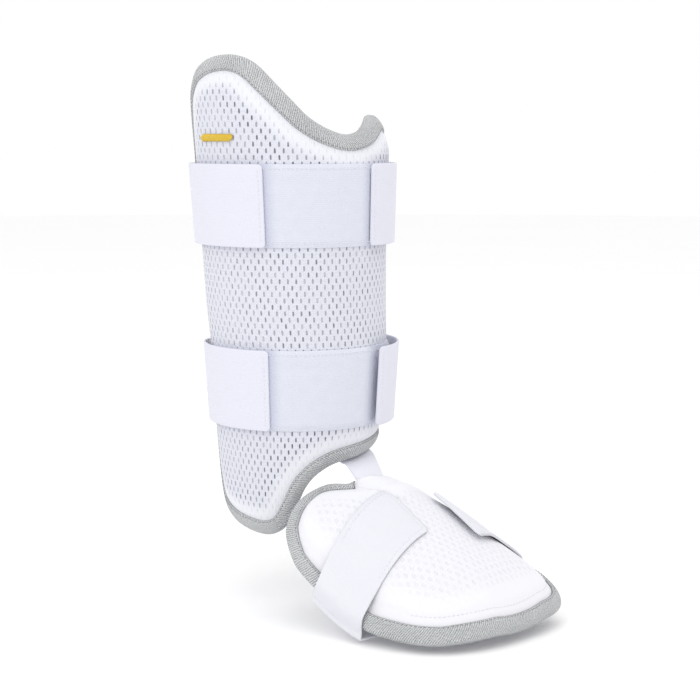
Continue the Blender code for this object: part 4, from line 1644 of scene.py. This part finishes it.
@dataclass
class FootGuard:
    """Padded foot cover with its tape, the strap under the sole and the short strap to the shell."""

    leg: LegForm
    foot: FootForm
    finishes: Finishes
    edge_wall: float = 0.0045
    bevel: float = 0.0260
    cells: tuple[int, int] = (80, 80)
    clearance: float = 0.0004
    instep_width: float = 0.0340
    instep_wall: float = 0.0015
    instep_bearing: float = 14.0
    instep_tuck: float = 0.0180
    instep_lap: float = 0.0120
    instep_seam: float = 0.0020
    instep_side: float = 0.0080
    instep_reach: float = 0.0060
    instep_dip: float = 0.0010
    instep_turns: tuple[tuple[float, float], ...] = ((0.0030, 0.0035), (0.0042, 0.0100))
    instep_search: float = 0.0005
    sole_width: float = 0.0430
    sole_outer_width: float = 0.0480
    sole_wall: float = 0.0018
    sole_middle: float = 0.1200
    sole_outer_middle: float = 0.1360
    sole_sag: float = 0.0120
    sole_turn: float = 0.0028
    sole_outer_turn: float = 0.0055
    sole_inner_end: float = -0.0020
    sole_outer_end: float = 0.0260
    sole_proud: float = 0.0035
    sole_inset: float = 0.0040
    sole_corner: float = 0.0032
    sole_turns: tuple[tuple[float, float], ...] = ((1.0, 0.6), (1.0, -0.3), (0.1, -1.1))
    sole_tab: float = 0.0600
    toe_row: float = 1.5
    toe_share: float = 0.72
    tape_gap: float = 0.0120
    hem: float = 0.0037

    def panel(self) -> Panel:
        """The padded cover, laid out in plan."""
        rows = np.array(self.foot.edge)

        def surface(places: Array, off: Array) -> Array:
            """Places off the foot."""
            return self.foot.at(places[:, 0], places[:, 1], off)

        return Panel("foot_cover", "foot_pad", surface, self.foot.edge_rows()[:, :2],
                     [int(i) for i in np.flatnonzero(rows[:, 3])], self.cells, self.foot.padding,
                     self.edge_wall, self.bevel, lambda place: np.array([0.0, 0.0, 1.0]), True,
                     free=self.free)

    def free(self, flat: Array) -> Array:
        """How freely the padding may swell: not at all under the straps.

        Args:
            flat: Places in the panel's own plane.

        Returns:
            Shares from 0 to 1.
        """
        forward = np.abs(flat[:, 1] - (self.sole_middle + self.sole_outer_middle) / 2)
        beside = eased((forward - self.sole_outer_width / 2) / 0.016)
        middle = (self.sole_inner_end + self.sole_outer_end) / 2
        between = 1.0 - eased((np.abs(flat[:, 0] - middle) - 0.004) / 0.010)
        return np.maximum(beside, between) * eased((flat[:, 1] - self.foot.rear - 0.040) / 0.020)

    def tape_places(self, panel: Panel) -> Array:
        """Places of the edge that the tape covers, in order from one side of the short strap.

        Args:
            panel: The foot cover.

        Returns:
            Indices of the edge's places.
        """
        edge, _step = panel.ring()
        half = self.instep_width / 2 + self.clearance
        aside = edge[:, 0] - self.instep_side
        rear = edge[:, 1] < self.foot.rear + self.foot.length * 0.4
        under = (aside > -half) & (aside < half + self.tape_gap) & rear
        first = int(np.flatnonzero(under)[0])
        order = (np.arange(len(edge)) + first) % len(edge)
        return order[~under[order]]

    def sew_toe(self, panel: Panel, cover: bpy.types.Object) -> None:
        """Sews a row of stitches beside the tape at the toes.

        Args:
            panel: The foot cover.
            cover: Its finished piece.
        """
        edge, step = panel.ring()
        flat = edge + step * self.toe_row
        toe = flat[flat[:, 1] > self.foot.rear + self.foot.length * self.toe_share]
        places, normals = [], []
        for place in panel.outer(toe, self.toe_row * panel.tape.face):
            _found, spot, normal, _face = cover.closest_point_on_mesh(Vector(place))
            places.append(spot)
            normals.append(normal)
        rows = Stitching("toe_stitches", radius=0.0003)
        piece = rows.build([(np.array(places), np.array(normals))],
                           self.finishes.white_thread.material("sewn_toe"))
        dress(piece, "foot_pad", False)

    def low_edge_at(self, bearing: float) -> float:
        """Height of the shell's lower edge on its front.

        Args:
            bearing: Bearing in degrees.

        Returns:
            The height in metres.
        """
        rows = np.array([row for row in ShinGuard.edge if row[1] < 0.0 and -45.0 < row[0] < 75.0])
        rows = rows[np.argsort(rows[:, 0])]
        return float(np.interp(bearing, rows[:, 0], rows[:, 1])) * self.leg.height

    def instep_line(self, across: float) -> Array:
        """One line of the short strap, from behind the shell to under the cover.

        Args:
            across: Place across the strap, from -1 to 1.

        Returns:
            The line's places.
        """
        tape = FoldedTape()
        low = self.low_edge_at(self.instep_bearing)
        half_bearing = math.degrees(self.instep_width / 2 / float(self.leg.radius_at(low)))
        bearing = self.instep_bearing + across * half_bearing
        low = self.low_edge_at(bearing)
        behind = -(tape.wall + 2.0 * tape.clearance + self.instep_wall)
        side = self.instep_side + across * self.instep_width / 2
        rear = self.foot.rear + self.foot.length * 0.2
        aside = side - self.foot.crest_side
        while self.foot.edge_at(side, rear)[0] < math.hypot(aside, rear - self.foot.middle):
            rear += self.instep_search
        under = -(self.instep_seam + self.instep_wall)
        points = [
            self.leg.at(bearing, low + self.instep_tuck, behind),
            self.leg.at(bearing, low + self.instep_tuck / 2, behind),
            self.leg.at(bearing, low, behind),
            *[self.leg.at(bearing, low - drop, behind + out) for drop, out in self.instep_turns],
            self.foot.at(side, rear - self.instep_reach, under) + np.array([0.0, 0.0, self.instep_dip]),
            self.foot.at(side, rear, under),
            self.foot.at(side, rear + self.instep_lap / 2, under),
            self.foot.at(side, rear + self.instep_lap, under),
        ]
        return smooth_line(np.stack(points), 8)

    def instep(self) -> None:
        """Makes the short strap."""
        shares = hemmed(2.0, self.instep_wall / self.instep_width, 14) - 1.0
        grid = np.stack([self.instep_line(float(share)) for share in shares], axis=1)
        outward = np.broadcast_to(np.array([0.0, -0.5, 1.0]), grid.shape)
        strap = Laminate("instep_elastic_strap", grid, self.instep_wall, outward)
        piece = dress(strap.build(self.finishes.short_webbing_painted_light.material("instep_webbing")), "instep_strap")

    def sole_line(self, across: float) -> Array:
        """One line of the strap under the sole, from its inner to its outer end.

        Args:
            across: Place across the strap, from -1 to 1.

        Returns:
            The line's places.
        """
        foot = self.foot
        inner_forward = self.sole_middle + across * self.sole_width / 2
        outer_forward = self.sole_outer_middle + across * self.sole_outer_width / 2
        over = foot.padding + 2.0 * self.clearance
        tape = FoldedTape.wall + self.clearance
        inner_side, inner_height = (float(value) for value in foot.edge_side(inner_forward, Side.INNER))
        outer_side, outer_height = (float(value) for value in foot.edge_side(outer_forward, Side.OUTER))
        end = max(abs(across) - 0.8, 0.0) / 0.2
        corner = self.sole_corner * (1.0 - math.sqrt(1.0 - end ** 2))
        shares = np.linspace(0.0, 1.0, 9)
        start = self.sole_inner_end - corner
        inner = foot.at(start + (inner_side + self.sole_inset - start) * shares, inner_forward,
                        over + tape * eased(shares * 3.0 - 2.0))
        route = [*inner]
        for out, up in self.sole_turns:
            route.append(np.array([inner_side - out * self.sole_turn, -inner_forward,
                                   inner_height + up * self.sole_turn]))
        low = (inner_height + outer_height) / 2 - self.sole_sag
        for share in (0.2, 0.4, 0.6, 0.8):
            side = inner_side + (outer_side - inner_side) * share
            forward = inner_forward + (outer_forward - inner_forward) * share
            ends = inner_height + (outer_height - inner_height) * share - self.sole_turn
            route.append(np.array([side, -forward, ends + (low - ends) * 4.0 * share * (1.0 - share)]))
        for out, up in reversed(self.sole_turns):
            route.append(np.array([outer_side + out * self.sole_outer_turn, -outer_forward,
                                   outer_height + up * self.sole_outer_turn]))
        stop = self.sole_outer_end + corner
        lift = self.sole_proud * eased(shares * 1.4 - 0.4) + tape * eased(1.0 - shares * 2.0)
        outer = foot.at(outer_side - self.sole_inset + (stop - outer_side + self.sole_inset) * shares,
                        outer_forward, over + lift)
        return smooth_line(np.stack([*route, *outer]), 7)

    def sole(self) -> None:
        """Makes the strap under the sole."""
        shares = hemmed(2.0, self.sole_wall / self.sole_width, 20) - 1.0
        grid = np.stack([self.sole_line(float(share)) for share in shares], axis=1)
        middle = np.array([0.0, -self.sole_middle, self.foot.rear_z - self.foot.drop * 0.7])
        strap = Laminate("sole_strap", grid, self.sole_wall, unit(grid - middle))
        piece = dress(strap.build(self.finishes.webbing.material("sole_webbing")), "foot_strap")
        self.sew_tab(strap)

    def sew_tab(self, strap: Laminate) -> None:
        """Stitches round the inner tab of the strap under the sole.

        Args:
            strap: The strap.
        """
        face, normals = strap.sewn_face()
        along, across, _margin = strap.measure()
        first = int(np.argmin(np.abs(along[:, 0] - self.hem)))
        last = int(np.argmin(np.abs(along[:, 0] - self.sole_tab)))
        near = int(np.argmin(np.abs(across[last] - across[last, 0] - self.hem)))
        far = len(across[last]) - 1 - near
        parts = ((slice(first, last), near), (slice(first, last), far), (first, slice(near, far + 1)))
        rows = Stitching("sole_strap_stitches", radius=0.00022)
        piece = rows.build([(face[part], normals[part]) for part in parts],
                           self.finishes.white_thread.material("sewn_sole_strap"))
        dress(piece, "foot_strap", False)

    def build(self) -> None:
        """Makes the cover, its tape and both straps."""
        panel = self.panel()
        cover = panel.build(self.finishes, self.finishes.foot_mesh.material("foot_mesh"))
        panel.bind("foot_tape", "foot_binding", self.finishes, self.tape_places(panel))
        self.sew_toe(panel, cover)
        self.instep()
        self.sole()


@dataclass
class Studio:
    """Pale floor, soft light and the camera at the picture's angle."""

    floor_z: float = -0.2350
    floor_radius: float = 6.0
    azimuth: float = -45.0
    pitch: float = 7.5
    distance: float = 1.255
    aside: float = 0.0435
    raised: float = 0.118
    focal: float = 84.55
    lamps: tuple[tuple[str, Color, Color, float, float], ...] = (
        # name, where it stands, where it looks, width of its face, power in watts
        ("key", (-1.7, -0.5, 1.3), (0.0, -0.05, -0.05), 1.2, 7.0),
        ("overhead", (-0.2, -0.5, 2.2), (0.0, -0.1, -0.2), 1.8, 10.0),
    )

    def camera(self) -> None:
        """Looks at the guard from the inner side of its front."""
        turn = math.radians(self.azimuth)
        tilt = math.radians(self.pitch)
        right = Vector((math.cos(turn), math.sin(turn), 0.0))
        back = Vector((math.sin(turn), -math.cos(turn), 0.0))
        look = -back * math.cos(tilt) - Vector((0.0, 0.0, math.sin(tilt)))
        up = right.cross(look)
        data = bpy.data.cameras.new("camera")
        data.lens = self.focal
        data.sensor_width = 36.0
        eye = bpy.data.objects.new("camera", data)
        bpy.context.scene.collection.objects.link(eye)
        eye.matrix_world = Matrix((right, up, -look)).transposed().to_4x4()
        eye.location = back * self.distance + right * self.aside + Vector((0.0, 0.0, self.raised))
        bpy.context.scene.camera = eye

    def floor(self) -> None:
        """Wide round floor in a plain pale finish."""
        turns = np.linspace(0.0, 2.0 * math.pi, 96, endpoint=False)
        ring = np.stack([np.cos(turns), np.sin(turns)], axis=1) * self.floor_radius
        points = np.concatenate([ring, np.full((len(ring), 1), self.floor_z)], axis=1)
        loom = Loom("floor")
        tint = loom.noise(0.4, 2.0)
        loom.finish(loom.blend(tint, (0.96, 0.96, 0.963), (0.98, 0.98, 0.983)), 0.9, tint, 0.00001)
        floor = cloth_object("floor", points, [range(len(points))], ring, np.zeros(len(points)),
                             [loom.material])

    def lamp(self, name: str, place: Color, aim: Color, size: float, power: float) -> None:
        """Soft square lamp.

        Args:
            name: Its name.
            place: Where it stands.
            aim: Where it looks.
            size: Width of its face.
            power: Its power in watts.
        """
        data = bpy.data.lights.new(name, "AREA")
        data.shape = "SQUARE"
        data.size = size
        data.energy = power
        lamp = bpy.data.objects.new(name, data)
        bpy.context.scene.collection.objects.link(lamp)
        lamp.location = place
        lamp.rotation_mode = "QUATERNION"
        lamp.rotation_quaternion = (Vector(aim) - Vector(place)).to_track_quat("-Z", "Y")

    def light(self) -> None:
        """Even white surroundings, with soft lamps above and on the inner side."""
        world = bpy.data.worlds.new("surroundings")
        bpy.context.scene.world = world
        world.use_nodes = True
        back = world.node_tree.nodes["Background"]
        back.inputs["Color"].default_value = (1.0, 1.0, 1.0, 1.0)
        back.inputs["Strength"].default_value = 1.0
        for lamp in self.lamps:
            self.lamp(*lamp)
        bpy.context.scene.view_settings.view_transform = "Standard"

    def build(self) -> None:
        """Sets up the whole studio."""
        self.camera()
        self.floor()
        self.light()


def corners(box: tuple[Vector, Vector]) -> list[list[float]]:
    """A box as plain lists of numbers."""
    return [[float(value) for value in corner] for corner in box]


def main() -> None:
    """Builds every sub-assembly in order."""
    logging.basicConfig(level=logging.INFO, format="%(name)s %(message)s")
    finishes = Finishes()
    leg = LegForm()
    foot = FootForm()
    parts = (ShinGuard(leg, finishes), CalfStraps(leg, finishes),
             FootGuard(leg, foot, finishes), Studio())
    for part in parts:
        part.build()
        log.info("%s is built", type(part).__name__)


if __name__ == "__main__":
    main()
